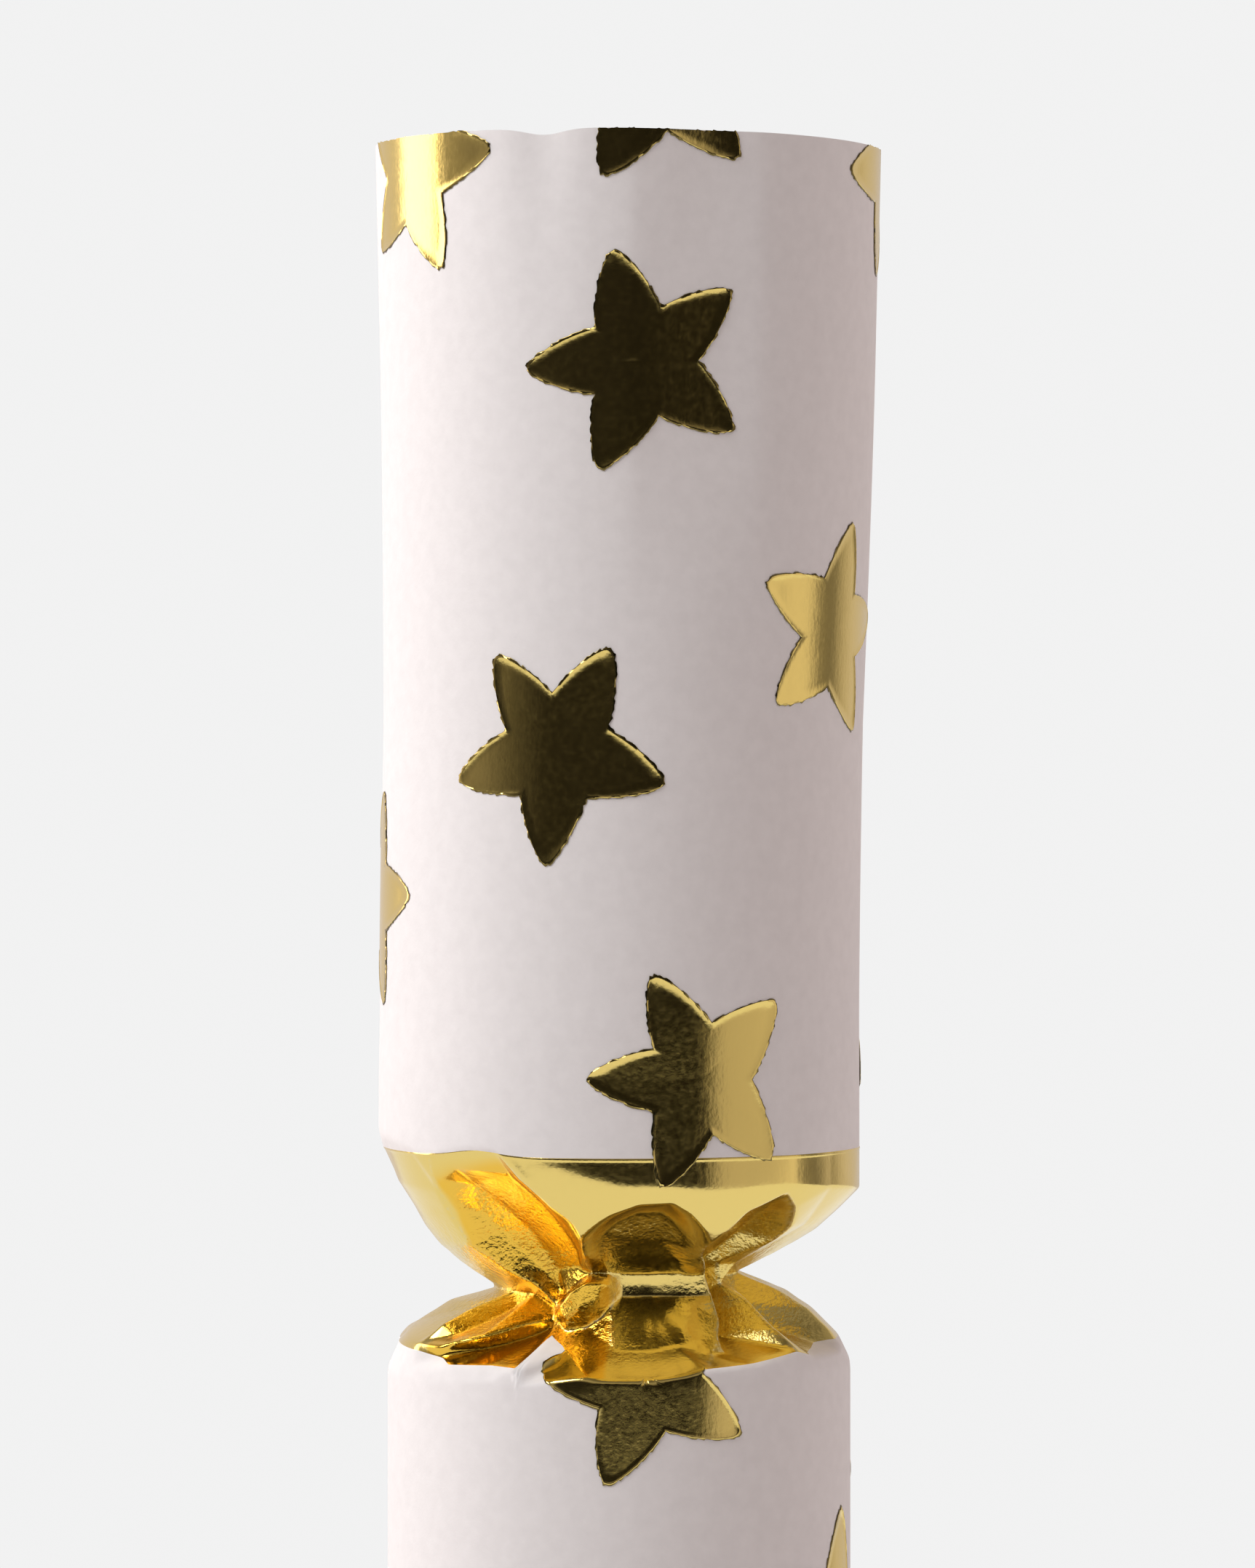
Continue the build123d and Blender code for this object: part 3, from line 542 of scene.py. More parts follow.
def end_points(angle, height, inset, turn=0):
    """Points of an end from its waist to its rim, with the soft dents of the rim."""
    fold_angle = angle + turn
    flare = RIM_RADIUS - END_RADIUS
    out = flare * np.clip((height - FLARE_START) / (END_LENGTH - FLARE_START), 0, 1)
    above_band = smooth(height, TOP_EDGE, TOP_EDGE + ROUNDNESS_RISE)
    for waves, size, start in ROUNDNESS:
        out = out + above_band * size * np.sin(np.radians(fold_angle * waves) + start)
    flat = 1 - (near(fold_angle, FLAT_ANGLE) / FLAT_HALF_WIDTH) ** 2
    flat = (flat + np.hypot(flat, FLAT_ROUNDING)) / 2
    out = out - FLAT_DEPTH * flat * smooth(height, FLAT_START, FLAT_FULL)
    near_rim = np.exp(-(END_LENGTH - height) / RIM_SOFTNESS)
    dent_angle, dent_width, dent_depth = RIM_DENT
    crease_angle, crease_width, crease_depth = RIM_CREASE
    dent = dent_depth * bell(fold_angle, dent_angle, dent_width)
    crease = np.clip(1 - np.abs(near(fold_angle, crease_angle)) / crease_width, 0, 1)
    out = out + near_rim * (crease_depth * crease - dent)
    points = around(paper_radius(fold_angle, height) + out - inset, angle, height)
    points[..., 0] += LEAN * smooth(height, LEAN_START, LEAN_END) * math.cos(math.radians(turn))
    points[..., 2] -= near_rim * (dent + RIM_TILT * (1 + np.sin(np.radians(fold_angle))))
    return points


def neck_points(angle, height, inset, turn):
    """Points of the barrel's side of a choke, its mean waist at height 0."""
    return around(paper_radius(angle + turn, height) - inset, angle, height)


def barrel_points(angle, height, inset):
    """Points of the barrel at a height above the lower waist, drawn in by the chokes at both ends."""
    upper = paper_radius(angle, height - BARREL_LENGTH)
    lower = paper_radius(LOWER_TURN - angle, -height)
    return around(np.where(height > BARREL_LENGTH / 2, upper, lower) - inset, angle, height)


def upright(points):
    """Places points of the upper end."""
    return points + np.array([0, 0, UPPER_WAIST])


def upended(points):
    """Places points of the lower end, which is an end turned over."""
    return points * np.array([-1, 1, -1]) + np.array([0, 0, LOWER_WAIST])


def on_barrel(points):
    """Places points of the barrel."""
    return points + np.array([0, 0, LOWER_WAIST])


def select_only(*pieces):
    """Selects these objects alone, the first one active."""
    bpy.ops.object.select_all(action="DESELECT")
    for piece in pieces:
        piece.select_set(True)
    if pieces:
        bpy.context.view_layer.objects.active = pieces[0]


def edit_all(piece, step, **settings):
    """Runs one edit-mode operator on the whole of a mesh."""
    select_only(piece)
    bpy.ops.object.mode_set(mode="EDIT")
    bpy.ops.mesh.select_all(action="SELECT")
    step(**settings)
    bpy.ops.object.mode_set(mode="OBJECT")


def points_of(piece):
    """A mesh's points, as an array in its own units."""
    flat = np.empty(len(piece.data.vertices) * 3)
    piece.data.vertices.foreach_get("co", flat)
    return flat.reshape(-1, 3)


def move_points(piece, points):
    """Moves a mesh's points to places given in millimetres."""
    piece.data.vertices.foreach_set("co", (points * MM).astype(np.float32).ravel())
    piece.data.update()


def thicken(piece, thickness, *finishes):
    """Gives a sheet its thickness inwards. A second finish goes on its inner side and its edges."""
    select_only(piece)
    for finish in finishes:
        piece.data.materials.append(finish)
    wall = piece.modifiers.new("thickness", "SOLIDIFY")
    wall.thickness = thickness * MM
    wall.offset = -1
    if len(finishes) > 1:
        wall.material_offset = 1
        wall.material_offset_rim = 1
    bpy.ops.object.modifier_apply(modifier=wall.name)
    bpy.ops.object.shade_smooth_by_angle(angle=math.radians(SMOOTH_ANGLE))


def sheet(name, points, **marks):
    """A sheet as a fine grid, its points moved to a grid of places. Marks are values kept with them."""
    rows, columns = points.shape[0] - 1, points.shape[1] - 1
    select_only()
    bpy.ops.mesh.primitive_grid_add(x_subdivisions=columns, y_subdivisions=rows, size=1)
    piece = bpy.context.object
    piece.name = name
    flat = points_of(piece)
    column = np.rint((flat[:, 0] + 0.5) * columns).astype(int)
    row = np.rint((flat[:, 1] + 0.5) * rows).astype(int)
    move_points(piece, points[row, column])
    for mark, values in marks.items():
        kept = piece.data.attributes.new(mark, "FLOAT", "POINT")
        kept.data.foreach_set("value", values[row, column].astype(np.float32))
    return piece


def lapped_angles(columns):
    """Angles across the rolled sheet, which laps over its own start, and how far in each column lies."""
    angle = SEAM_EDGE - LAP + np.linspace(0, 360 + LAP, columns + 1)
    inset = LAP_STEP * (1 - smooth(angle, SEAM_EDGE, SEAM_EDGE + LAP_RISE))
    return angle[None, :], inset[None, :]


def even_rows(points_at, low, high, rows, evenness=0.6):
    """Heights from low to high, spaced along the paper, also where it runs nearly level."""
    fine_steps = 4 * rows
    height = low + (high - low) * np.linspace(0, 1, fine_steps + 1)[:, None]
    points = points_at(height)
    run = np.zeros(height.shape)
    run[1:] = np.cumsum(np.linalg.norm(np.diff(points, axis=0), axis=-1), axis=0)
    wanted = np.linspace(0, 1, rows + 1)
    spaced = [np.interp(wanted * run[-1, i], run[:, i], height[:, i]) for i in range(height.shape[1])]
    level = low + (high - low) * wanted[:, None]
    return evenness * np.stack(spaced, axis=1) + (1 - evenness) * level


def choke_foil(name, body, node, points, angle, height):
    """A piece of the gold print round a choke, with its folds marked on it."""
    piece = sheet(
        name, points,
        fold_wear=read_map(FOLD_WEAR, angle, height),
        fold_grain=gathered_share(angle, height),
        # painted reflection: how far the gold is painted a deeper amber in the folds
        fold_depth=painted_glow_share(angle, height),
    )
    thicken(piece, PAPER, gold_foil, wrapper_inside)
    settle(piece, body, "gold_foil", node)


def choke_end_half(side, place, turn):
    """Gold paper from the tear at the waist up to the edge of the gold print on the end."""
    angle, inset = lapped_angles(columns=600)
    high = band_edge(angle + turn)
    height = even_rows(lambda h: end_points(angle, h, inset, turn), tear_height(angle + turn),
                       high - LIP_ROWS[0] * BAND_LIP_WIDTH, rows=68)
    height = np.vstack([height] + [high - step * BAND_LIP_WIDTH for step in LIP_ROWS[1:]])
    lip = BAND_LIP * np.exp(-((high - height) / BAND_LIP_WIDTH - 1) ** 2 * 2)
    points = place(end_points(angle, height, inset - lip, turn))
    choke_foil(f"{side}_choke_end_foil", f"{side}_end", f"{side}_choke_end_half",
               points, angle + turn, height)


def choke_barrel_half(side, place, turn):
    """Gold paper from the tear at the waist down to the edge of the gold print on the barrel."""
    angle, inset = lapped_angles(columns=600)
    height = even_rows(lambda h: neck_points(angle, h, inset, turn), -gold_foot(angle + turn),
                       tear_height(angle + turn), rows=64)
    points = place(neck_points(angle, height, inset, turn))
    choke_foil(f"{side}_choke_barrel_foil", "barrel", f"{side}_choke_barrel_half",
               points, angle + turn, height)


def end_sleeve(side, place, turn):
    """The white paper of an end, from the gold print to the rim."""
    angle, inset = lapped_angles(columns=320)
    low = band_edge(angle + turn)
    rows, crowding = 120, 1.3  # rows lie closer together near the print
    share = np.linspace(0, 1, rows + 1)[:, None] ** crowding
    height = low + (END_LENGTH - low) * share
    piece = sheet(f"{side}_end_sleeve", place(end_points(angle, height, inset, turn)))
    thicken(piece, PAPER, wrapper_paper, wrapper_inside)
    settle(piece, f"{side}_end", "wrapper_paper", f"{side}_end_wrapper")


def card_tube(side, place, turn):
    """The card tube inside an end, which takes the shape of the paper round it."""
    columns, rows, hair = 240, 40, 0.01
    angle = SEAM_EDGE + np.linspace(0, 360, columns + 1)[None, :]
    height = np.linspace(BAND_EDGE, TUBE_TOP, rows + 1)[:, None]
    piece = sheet(f"{side}_end_card", place(end_points(angle, height, CARD_INSET, turn)))
    edit_all(piece, bpy.ops.mesh.remove_doubles, threshold=hair * MM)
    thicken(piece, CARD, plain_finishes["tube_card"])
    settle(piece, f"{side}_end", "tube_card", f"{side}_end_tube")


def dress_end(side, place, turn):
    """The foil, paper and card of an end and its choke."""
    for dress in (choke_end_half, choke_barrel_half, end_sleeve, card_tube):
        dress(side, place, turn)


def barrel_sleeve():
    """The white paper of the barrel, between the gold prints of its two chokes."""
    shoulder_rows, shoulder_depth, middle_rows = 26, 6.0, 60
    angle, inset = lapped_angles(columns=420)
    low = gold_foot(LOWER_TURN - angle)
    high = BARREL_LENGTH - gold_foot(angle)
    shoulder = np.linspace(0, shoulder_depth, shoulder_rows + 1)[:, None]
    middle = np.linspace(0, 1, middle_rows + 1)[1:-1, None]
    inner_low, inner_high = low + shoulder_depth, high - shoulder_depth
    height = np.vstack([
        low + shoulder,
        inner_low + (inner_high - inner_low) * middle,
        high - shoulder[::-1],
    ])
    piece = sheet("barrel_sleeve", on_barrel(barrel_points(angle, height, inset)))
    thicken(piece, PAPER, wrapper_paper, wrapper_inside)
    settle(piece, "barrel", "wrapper_paper", "barrel_wrapper")


def settle(piece, body, slot, *nodes):
    """Lets a finished piece ride on its body, in the place of its CAD nodes."""
    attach(piece, body)
    if nodes:
        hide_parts(*nodes)


def on_ring(disc, size):
    """Which points of a star's flat disc lie on a ring of this size."""
    return np.isclose(np.hypot(disc[:, 0], disc[:, 1]), size, atol=0.01)


def star_blank():
    """A flat disc of rings, the start of every star."""
    select_only()
    bpy.ops.mesh.primitive_circle_add(vertices=HALF_ARMS * ARM_STEPS, radius=STAR_RINGS[0])
    blank = bpy.context.object
    bpy.ops.object.mode_set(mode="EDIT")
    bpy.ops.mesh.select_all(action="SELECT")
    for outer, inner in zip(STAR_RINGS, STAR_RINGS[1:]):
        bpy.ops.mesh.extrude_region()
        bpy.ops.transform.resize(value=(inner / outer, inner / outer, 1))
    bpy.ops.mesh.extrude_region()
    bpy.ops.mesh.merge(type="CENTER")
    bpy.ops.object.mode_set(mode="OBJECT")
    fringe = blank.data.attributes.new("star_fringe", "FLOAT", "POINT")
    fringe.data.foreach_set("value", on_ring(points_of(blank), STAR_RINGS[0]).astype(np.float32))
    return blank


def star_outline(around_share, tips):
    """Direction and reach of a star's edge. The share runs once round, from the first tip."""
    if not isinstance(tips, tuple):
        tips = [tips + step for step in EVEN_TIPS]
    tips = np.radians(sorted(tips))
    next_tips = np.append(tips[1:], tips[0] + math.tau)
    corners = np.append(np.stack([tips, (tips + next_tips) / 2], axis=1).ravel(), tips[0] + math.tau)
    place = around_share * HALF_ARMS
    half_arm = np.floor(place).astype(int) % HALF_ARMS
    width = np.diff(corners)[half_arm]
    after_tip = half_arm % 2 == 0
    share = np.where(after_tip, place % 1, 1 - place % 1)
    from_tip = np.hypot(share, TIP_ROUNDING * (1 - share))
    back, aside = ARM_POINT - NOTCH_REACH * np.cos(width), NOTCH_REACH * np.sin(width)
    bulge = ARM_BULGE * 4 * from_tip * (1 - from_tip) / np.hypot(back, aside)
    ahead = ARM_POINT - from_tip * back + bulge * aside
    across = (from_tip * aside + bulge * back) * share / from_tip
    swing = np.arctan2(across, ahead)
    direction = np.where(after_tip, corners[half_arm] + swing, corners[half_arm + 1] - swing)
    return direction, np.hypot(ahead, across)


def star_points(blank, tips, draw):
    """Flat points of one star in millimetres, and as a third number how far each stands off the paper."""
    disc = points_of(blank)
    ring = np.hypot(disc[:, 0], disc[:, 1])
    share = np.arctan2(disc[:, 1], disc[:, 0]) / math.tau % 1
    direction, reach = star_outline(share, tips)
    steps = HALF_ARMS * ARM_STEPS
    ragged = draw.uniform(-1, 1, steps + 1)
    fringe = FRINGE_REACH + FRINGE_RAGGED * ragged[np.rint(share * steps).astype(int)]
    on_fringe, on_crest, on_toe = (on_ring(disc, size) for size in STAR_RINGS[:3])
    inner = (reach - TOE_INSET) * ring / STAR_RINGS[2]
    length = np.select([on_fringe, on_crest, on_toe], [reach + fringe, reach, reach - TOE_INSET], inner)
    proud = np.select([on_fringe, on_crest], [FRINGE_PROUD, CREST_PROUD], TOE_PROUD)
    return np.stack([length * np.cos(direction), length * np.sin(direction), proud], axis=1)


def trim_star(piece, outside):
    """Takes away the faces of a star that lie wholly outside."""
    select_only(piece)
    bpy.ops.object.mode_set(mode="EDIT")
    bpy.ops.mesh.select_mode(type="FACE")
    bpy.ops.mesh.select_all(action="DESELECT")
    bpy.ops.object.mode_set(mode="OBJECT")
    for face in piece.data.polygons:
        face.select = all(outside[i] for i in face.vertices)
    bpy.ops.object.mode_set(mode="EDIT")
    bpy.ops.mesh.delete(type="FACE")
    bpy.ops.object.mode_set(mode="OBJECT")


def foil_stars(name, body, blank, stars, radius, surface, print_edge):
    """One body's foil stars, laid on its paper and cut at the rim or where the gold print covers them."""
    draw = np.random.RandomState(len(stars))
    laid = []
    for angle, height, tips in stars:
        star = blank.copy()
        star.data = blank.data.copy()
        bpy.context.collection.objects.link(star)
        move_points(star, star_points(blank, tips, draw))
        top = height + STAR_REACH
        if print_edge is None and top > END_LENGTH:
            rim = (0, (END_LENGTH - height) * MM, 0)
            edit_all(star, bpy.ops.mesh.bisect, plane_co=rim, plane_no=(0, 1, 0), clear_outer=True)
        if print_edge is not None and top > BARREL_LENGTH + BOTTOM_EDGE:
            edit_all(star, bpy.ops.mesh.subdivide, number_cuts=1)
        flat = points_of(star) / MM
        star_angle, star_height = angle + np.degrees(flat[:, 0] / radius), height + flat[:, 1]
        if print_edge is None:
            move_points(star, surface(star_angle, star_height, -flat[:, 2]))
        else:
            limit = print_edge(star_angle) + PRINT_OVERLAP
            move_points(star, surface(star_angle, np.minimum(star_height, limit), -flat[:, 2]))
            trim_star(star, star_height >= limit)
        laid.append(star)
    select_only(*laid)
    bpy.ops.object.join()
    piece = bpy.context.object
    piece.name = name
    thicken(piece, FOIL, gold_foil)
    settle(piece, body, "gold_foil")


def roll(name, body, node, finish, turns, thickness, core, top_edge):
    """A rolled-up slip of paper in its CAD node's place. Its top edge runs as top_edge(turn) says."""
    low, high = node_box(node)
    middle = (low + high) / 2
    reach = (high.x - low.x) / 2
    turn_steps, rows = 48, 40
    turn = np.linspace(0, turns, int(turns * turn_steps) + 1)[None, :]
    share = np.linspace(0, 1, rows + 1)[:, None]
    radius = core + (reach - core) * turn / turns
    height = low.z + (high.z - top_edge(turn) - low.z) * share
    points = around(radius, turn * 360, height) + np.array([middle.x, middle.y, 0])
    piece = sheet(name, points)
    thicken(piece, thickness, plain_finishes[finish])
    settle(piece, body, finish, node)


def crown_teeth(turn):
    """Depth of the crown's zigzag edge along its roll."""
    saw = np.abs((turn * CROWN_TEETH) % 1 * 2 - 1)
    return CROWN_TOOTH_DEPTH * saw


def rubber_band():
    """The crown's rubber band, wound three times round the roll."""
    low, high = node_box("crown_band")
    middle = (low + high) / 2
    radius = (high.x - low.x) / 2 - BAND_CORD
    loops = []
    for rise, tilt in BAND_LOOPS:
        select_only()
        bpy.ops.mesh.primitive_torus_add(
            location=(middle + Vector((0, 0, rise))) * MM,
            rotation=(math.radians(tilt), math.radians(tilt / 2), 0),
            major_radius=radius * MM, minor_radius=BAND_CORD * MM,
            major_segments=64, minor_segments=12,
        )
        loops.append(bpy.context.object)
    select_only(*loops)
    bpy.ops.object.join()
    bpy.ops.object.transform_apply(location=True, rotation=True, scale=True)
    bpy.ops.object.shade_smooth()
    band = bpy.context.object
    band.name = "crown_rubber_band"
    band.data.materials.append(plain_finishes["band_rubber"])
    settle(band, "crown", "band_rubber", "crown_band")


def new_finish(name, colour, roughness, metallic=0.0):
    """A material with its plain values set on the shader."""
    finish = bpy.data.materials.new(name)
    finish.use_nodes = True
    shader = finish.node_tree.nodes["Principled BSDF"]
    shader.inputs["Base Color"].default_value = (*colour, 1)
    shader.inputs["Roughness"].default_value = roughness
    shader.inputs["Metallic"].default_value = metallic
    return finish, shader


def add_node(owner, kind, **values):
    """A new node in a material or the world, with its settings and sockets set by name."""
    made = owner.node_tree.nodes.new(kind)
    for name, value in values.items():
        if hasattr(made, name):
            setattr(made, name, value)
        else:
            made.inputs[name].default_value = value
    return made


def link(owner, source, target):
    """Joins two sockets of a material or the world."""
    owner.node_tree.links.new(source, target)


def pattern_place(finish, stretch=(1, 1, 1)):
    """Coordinates of a pattern on the piece, stretched along its axes."""
    coordinates = add_node(finish, "ShaderNodeTexCoord")
    mapping = add_node(finish, "ShaderNodeMapping", Scale=stretch)
    link(finish, coordinates.outputs["Object"], mapping.inputs["Vector"])
    return mapping.outputs["Vector"]


def marked(finish, mark):
    """A value that is kept with a piece's points."""
    return add_node(finish, "ShaderNodeAttribute", attribute_name=mark).outputs["Fac"]


def noise(finish, place, grain, detail=4.0):
    """Noise with features of about that many millimetres."""
    made = add_node(finish, "ShaderNodeTexNoise", Scale=1 / (grain * MM), Detail=detail)
    link(finish, place, made.inputs["Vector"])
    return made.outputs["Fac"]


def mottle(finish, shader, field, dark, light):
    """Colours the finish between two shades by a noise field."""
    ramp = add_node(finish, "ShaderNodeValToRGB")
    for stop, place, shade in zip(ramp.color_ramp.elements, MOTTLE_RANGE, (dark, light)):
        stop.position = place
        stop.color = (*shade, 1)
    link(finish, field, ramp.inputs["Fac"])
    link(finish, ramp.outputs["Color"], shader.inputs["Base Color"])


def spread(owner, field, into, out_of=(0, 1)):
    """A field brought from one range of values into another."""
    ranges = {"From Min": out_of[0], "From Max": out_of[1], "To Min": into[0], "To Max": into[1]}
    made = add_node(owner, "ShaderNodeMapRange", **ranges)
    link(owner, field, made.inputs["Value"])
    return made.outputs["Result"]


def blended(owner, start, end, share):
    """One colour mixed into another by a field. Either may be plain or a field itself."""
    made = add_node(owner, "ShaderNodeMix", data_type="RGBA")
    for name, colour in (("A", start), ("B", end)):
        if isinstance(colour, tuple):
            made.inputs[name].default_value = (*colour, 1)
        else:
            link(owner, colour, made.inputs[name])
    link(owner, share, made.inputs["Factor"])
    return made.outputs["Result"]


def calculated(owner, operation, *terms):
    """One step of arithmetic on fields and plain numbers."""
    made = add_node(owner, "ShaderNodeMath", operation=operation)
    for socket, term in zip(made.inputs, terms):
        if isinstance(term, (int, float)):
            socket.default_value = term
        else:
            link(owner, term, socket)
    return made.outputs["Value"]


def bump(finish, shader, field, height, strength, under=None):
    """Raises the surface by a noise field, over another bump if one is given."""
    made = add_node(finish, "ShaderNodeBump", Strength=strength, Distance=height * MM)
    link(finish, field, made.inputs["Height"])
    if under is not None:
        link(finish, under.outputs["Normal"], made.inputs["Normal"])
    link(finish, made.outputs["Normal"], shader.inputs["Normal"])
    return made


def make_wrapper_paper(name, dark, light):
    """Matt white paper with a fine tooth and a grain that runs along the cracker."""
    finish, shader = new_finish(name, light, roughness=0.8)
    place = pattern_place(finish)
    lengthwise = pattern_place(finish, stretch=(1, 1, 0.14))
    mottle(finish, shader, noise(finish, place, grain=1.2), dark, light)
    tooth = bump(finish, shader, noise(finish, place, grain=0.32, detail=3), height=0.03, strength=0.5)
    streaks = noise(finish, lengthwise, grain=0.9, detail=3)
    bump(finish, shader, streaks, height=0.03, strength=0.35, under=tooth)
    shader.inputs["Specular IOR Level"].default_value = 0.3
    return finish


def make_gold_foil():
    """Hot-stamped gold foil: streaky, with a grain in its folds and paper showing where it has cracked. A
    painted reflection turns it a deeper amber in the folds on the left, and the ragged fringe round the
    stars is coloured dark.
    """
    gold, painted_glow_gold = (0.80, 0.605, 0.19), (0.84, 0.52, 0.07)
    # the dark colour goes on the stars' ragged fringe; bared paper shows where the foil has cracked
    dark_fringe, bared_paper = (0.10, 0.075, 0.03), (0.85, 0.80, 0.72)
    finish, shader = new_finish("gold_foil", gold, roughness=0.16, metallic=1.0)
    place = pattern_place(finish)
    lengthwise = pattern_place(finish, stretch=(1, 1, 0.22))
    roughness = spread(finish, noise(finish, place, grain=0.5), into=(0.08, 0.24))
    link(finish, roughness, shader.inputs["Roughness"])
    streaks = bump(finish, shader, noise(finish, lengthwise, grain=0.4), height=0.016, strength=0.5)
    grains = noise(finish, place, grain=0.34, detail=3)
    speckle = bump(finish, shader, grains, height=0.1, strength=0.5, under=streaks)
    strength = spread(finish, marked(finish, "fold_grain"), into=(0.09, 1))
    link(finish, strength, speckle.inputs["Strength"])
    patchy = spread(finish, noise(finish, place, grain=0.5, detail=3), into=(0, 1), out_of=(0.40, 0.62))
    cracked = calculated(finish, "MULTIPLY", marked(finish, "fold_wear"), patchy)
    fringe_darkening = spread(finish, marked(finish, "star_fringe"), into=(0, 0.9), out_of=(0.15, 0.5))
    # painted reflection: the gold of the left folds mixed towards a deeper amber
    shade = blended(finish, gold, painted_glow_gold, marked(finish, "fold_depth"))
    # the ragged fringe round the stars is coloured dark
    shade = blended(finish, shade, dark_fringe, fringe_darkening)
    shade = blended(finish, shade, bared_paper, cracked)
    link(finish, shade, shader.inputs["Base Color"])
    link(finish, spread(finish, cracked, into=(1, 0)), shader.inputs["Metallic"])
    return finish


def make_plain(name, dark, light, roughness, grain, height, stretch=(1, 1, 1)):
    """Card, paper, paint or wood with a mottled colour and a fine relief."""
    finish, shader = new_finish(name, light, roughness)
    place = pattern_place(finish, stretch)
    mottle(finish, shader, noise(finish, place, grain * MOTTLE_SIZE), dark, light)
    bump(finish, shader, noise(finish, place, grain), height, strength=0.6)
    return finish


def dress_nodes():
    """Finishes for the CAD nodes that stay in view."""
    for node, finish in NODE_FINISHES.items():
        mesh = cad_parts[node].data
        mesh.materials.clear()
        mesh.materials.append(plain_finishes[finish])


def floor():
    """A pale round table top, wide enough to light the folds from below."""
    select_only()
    bpy.ops.mesh.primitive_circle_add(vertices=128, radius=FLOOR_RADIUS * MM, fill_type="NGON")
    table = bpy.context.object
    table.name = "floor"
    finish, shader = new_finish("floor_white", (0.87, 0.83, 0.82), roughness=0.9)
    mirrored = add_node(finish, "ShaderNodeEmission", Strength=MIRRORED_FLOOR)
    path = add_node(finish, "ShaderNodeLightPath")
    seen = add_node(finish, "ShaderNodeMixShader")
    link(finish, path.outputs["Is Glossy Ray"], seen.inputs["Fac"])
    link(finish, shader.outputs["BSDF"], seen.inputs[1])
    link(finish, mirrored.outputs["Emission"], seen.inputs[2])
    link(finish, seen.outputs["Shader"], finish.node_tree.nodes["Material Output"].inputs["Surface"])
    table.data.materials.append(finish)


def level_ramp(world, field, levels):
    """Brightness along a field, in the studio's tint."""
    ramp = add_node(world, "ShaderNodeValToRGB")
    stops = ramp.color_ramp.elements
    while len(stops) > 1:
        stops.remove(stops[-1])
    for place, level in levels:
        stop = stops.new(place)
        stop.color = (*(level * tint for tint in STUDIO_TINT), 1)
    stops.remove(stops[0])
    link(world, field, ramp.inputs["Fac"])
    return ramp.outputs["Color"]


def studio():
    """A world that is bright to the right and behind and dark in front, with a strip light on the left."""
    world = bpy.data.worlds.new("studio")
    bpy.context.scene.world = world
    world.use_nodes = True
    coordinates = add_node(world, "ShaderNodeTexCoord")
    split = add_node(world, "ShaderNodeSeparateXYZ")
    link(world, coordinates.outputs["Generated"], split.inputs["Vector"])
    x, y, z = split.outputs
    azimuth = calculated(world, "ARCTAN2", x, calculated(world, "MULTIPLY", y, -1))
    round_share = spread(world, azimuth, into=(0, 1), out_of=(-math.pi, math.pi))
    wall_levels = [((angle + 180) / 360, level) for angle, level in STUDIO_AZIMUTHS]
    walls = level_ramp(world, round_share, wall_levels)
    behind = calculated(world, "MAXIMUM", y, 0)
    steepness = calculated(world, "MULTIPLY_ADD", behind, -BACKDROP_RISE, z)
    overhead = level_ramp(world, steepness, OVERHEAD)
    rise = spread(world, steepness, into=(0, 1), out_of=(OVERHEAD[0][0], OVERHEAD[1][0]))
    path = add_node(world, "ShaderNodeLightPath")
    lit = blended(world, walls, overhead, rise)
    seen = blended(world, lit, (BACKGROUND, BACKGROUND, BACKGROUND), path.outputs["Is Camera Ray"])
    link(world, seen, world.node_tree.nodes["Background"].inputs["Color"])


def aim(thing, target):
    """Turns a lamp or camera towards a point."""
    thing.rotation_euler = (Vector(target) - thing.location).to_track_quat("-Z", "Y").to_euler()


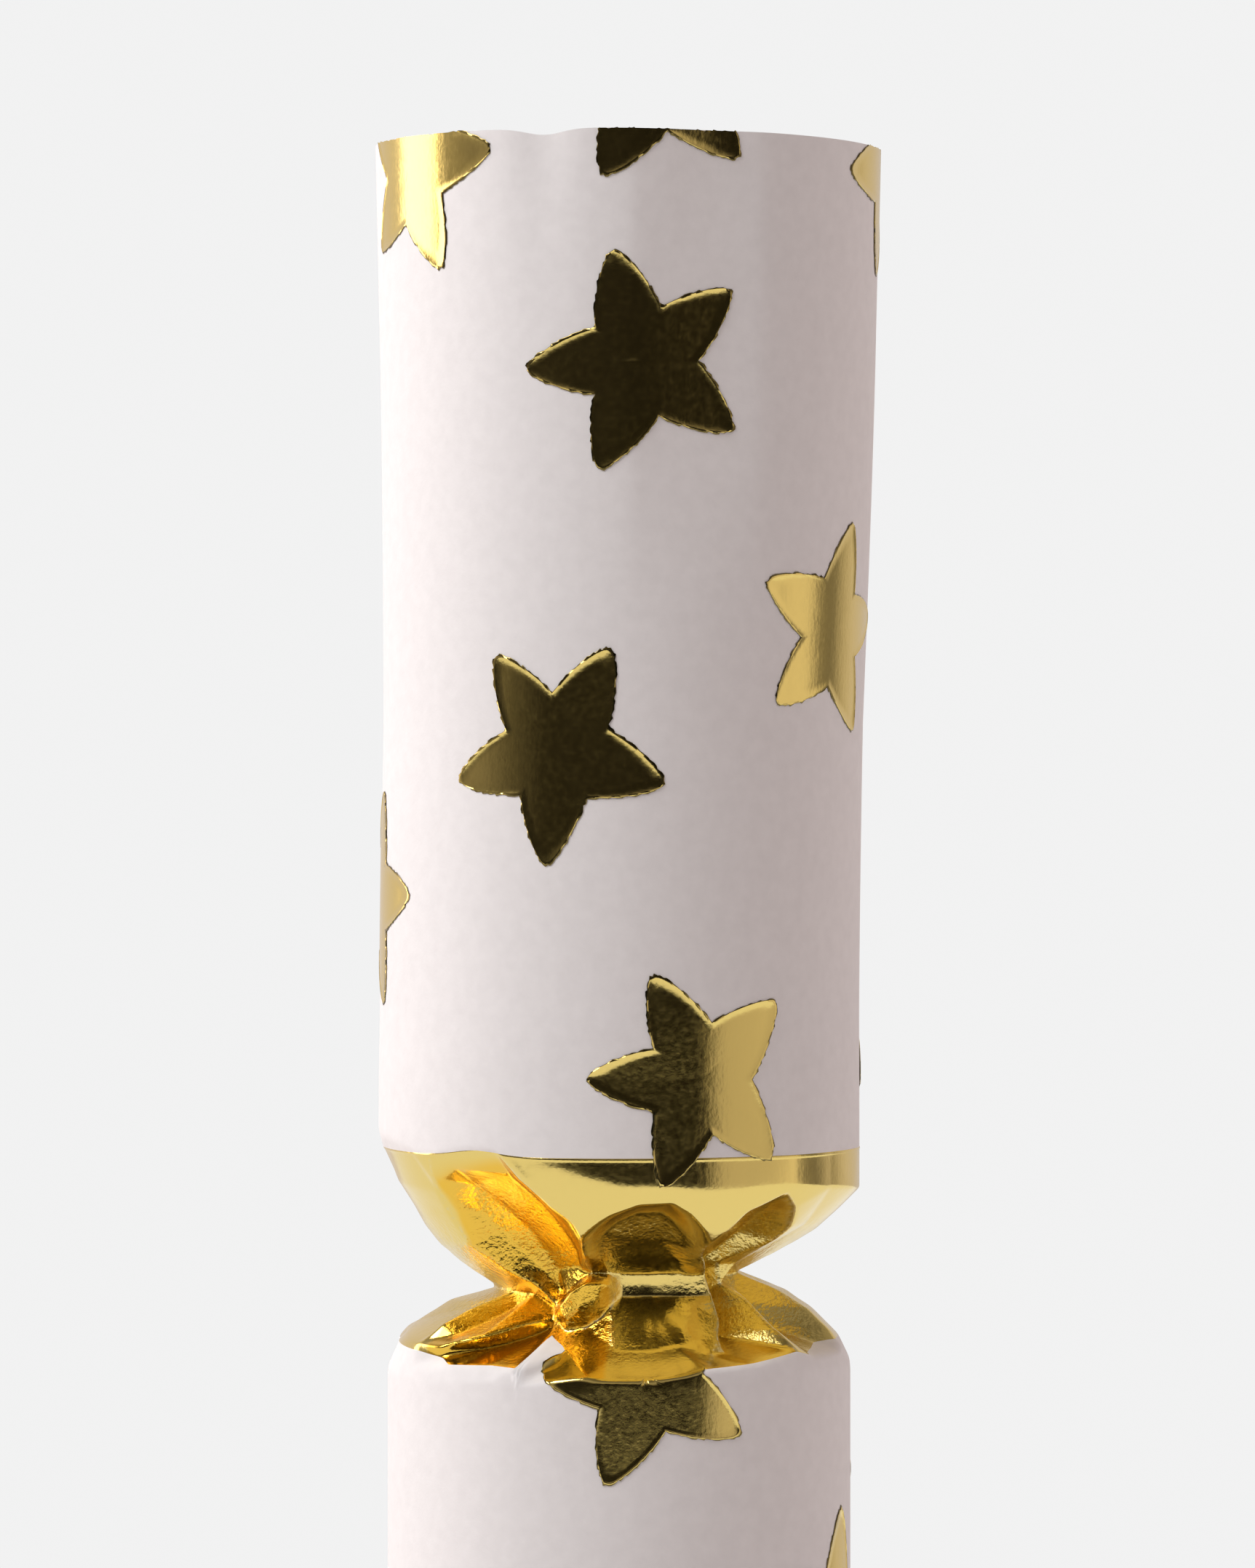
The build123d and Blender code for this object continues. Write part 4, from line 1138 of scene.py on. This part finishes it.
def soft_lamp(name, azimuth, elevation, power, size, colour):
    """A large soft lamp aimed at the upper choke."""
    turn, rise = math.radians(azimuth), math.radians(elevation)
    centre = Vector((0, 0, UPPER_WAIST))
    away = Vector((math.sin(turn) * math.cos(rise), -math.cos(turn) * math.cos(rise), math.sin(rise)))
    bpy.ops.object.light_add(type="AREA", location=(centre + away * LAMP_DISTANCE) * MM)
    lamp = bpy.context.object
    lamp.name = name
    lamp.data.size = size * MM
    lamp.data.energy = power
    lamp.data.color = colour
    aim(lamp, centre * MM)
    return lamp


def camera():
    """Level with the upper end, at the photograph's distance."""
    bpy.ops.object.camera_add(location=(CAMERA_X * MM, -CAMERA_DISTANCE * MM, CAMERA_Z * MM))
    view = bpy.context.object
    view.data.sensor_width = SENSOR
    view.data.lens = LENS
    view.data.clip_start = CLIP_START * MM
    aim(view, (CAMERA_X * MM, 0, AIM_Z * MM))
    bpy.context.scene.camera = view


wrapper_paper = make_wrapper_paper("wrapper_paper", (0.865, 0.835, 0.835), (0.905, 0.875, 0.875))
wrapper_inside = make_wrapper_paper("wrapper_inside", (0.84, 0.82, 0.80), (0.90, 0.88, 0.86))
gold_foil = make_gold_foil()
plain_finishes = {name: make_plain(name, *recipe) for name, recipe in PLAIN_FINISHES.items()}

dress_end("upper", upright, 0)
barrel_sleeve()
dress_end("lower", upended, LOWER_TURN)

blank_star = star_blank()
foil_stars("upper_end_stars", "upper_end", blank_star, UPPER_STARS, END_RADIUS,
           lambda a, h, inset: upright(end_points(a, h, inset)), None)
foil_stars("barrel_stars", "barrel", blank_star, BARREL_STARS, BARREL_RADIUS,
           lambda a, h, inset: on_barrel(barrel_points(a, h, inset)),
           lambda a: BARREL_LENGTH - gold_foot(a))
foil_stars("lower_end_stars", "lower_end", blank_star, LOWER_STARS, END_RADIUS,
           lambda a, h, inset: upended(end_points(a, h, inset, LOWER_TURN)), None)
bpy.data.objects.remove(blank_star)

roll("crown_roll", "crown", "paper_crown", "crown_tissue",
     CROWN_TURNS, CROWN_TISSUE, CROWN_CORE, crown_teeth)
roll("motto_roll", "motto", "motto_slip", "motto_paper",
     MOTTO_TURNS, MOTTO_PAPER, MOTTO_CORE, np.zeros_like)
rubber_band()
dress_nodes()

floor()
studio()
soft_lamp("key_lamp", *KEY_LAMP)
soft_lamp("fill_lamp", *FILL_LAMP).visible_glossy = False
camera()
bpy.context.scene.view_settings.view_transform = "Standard"
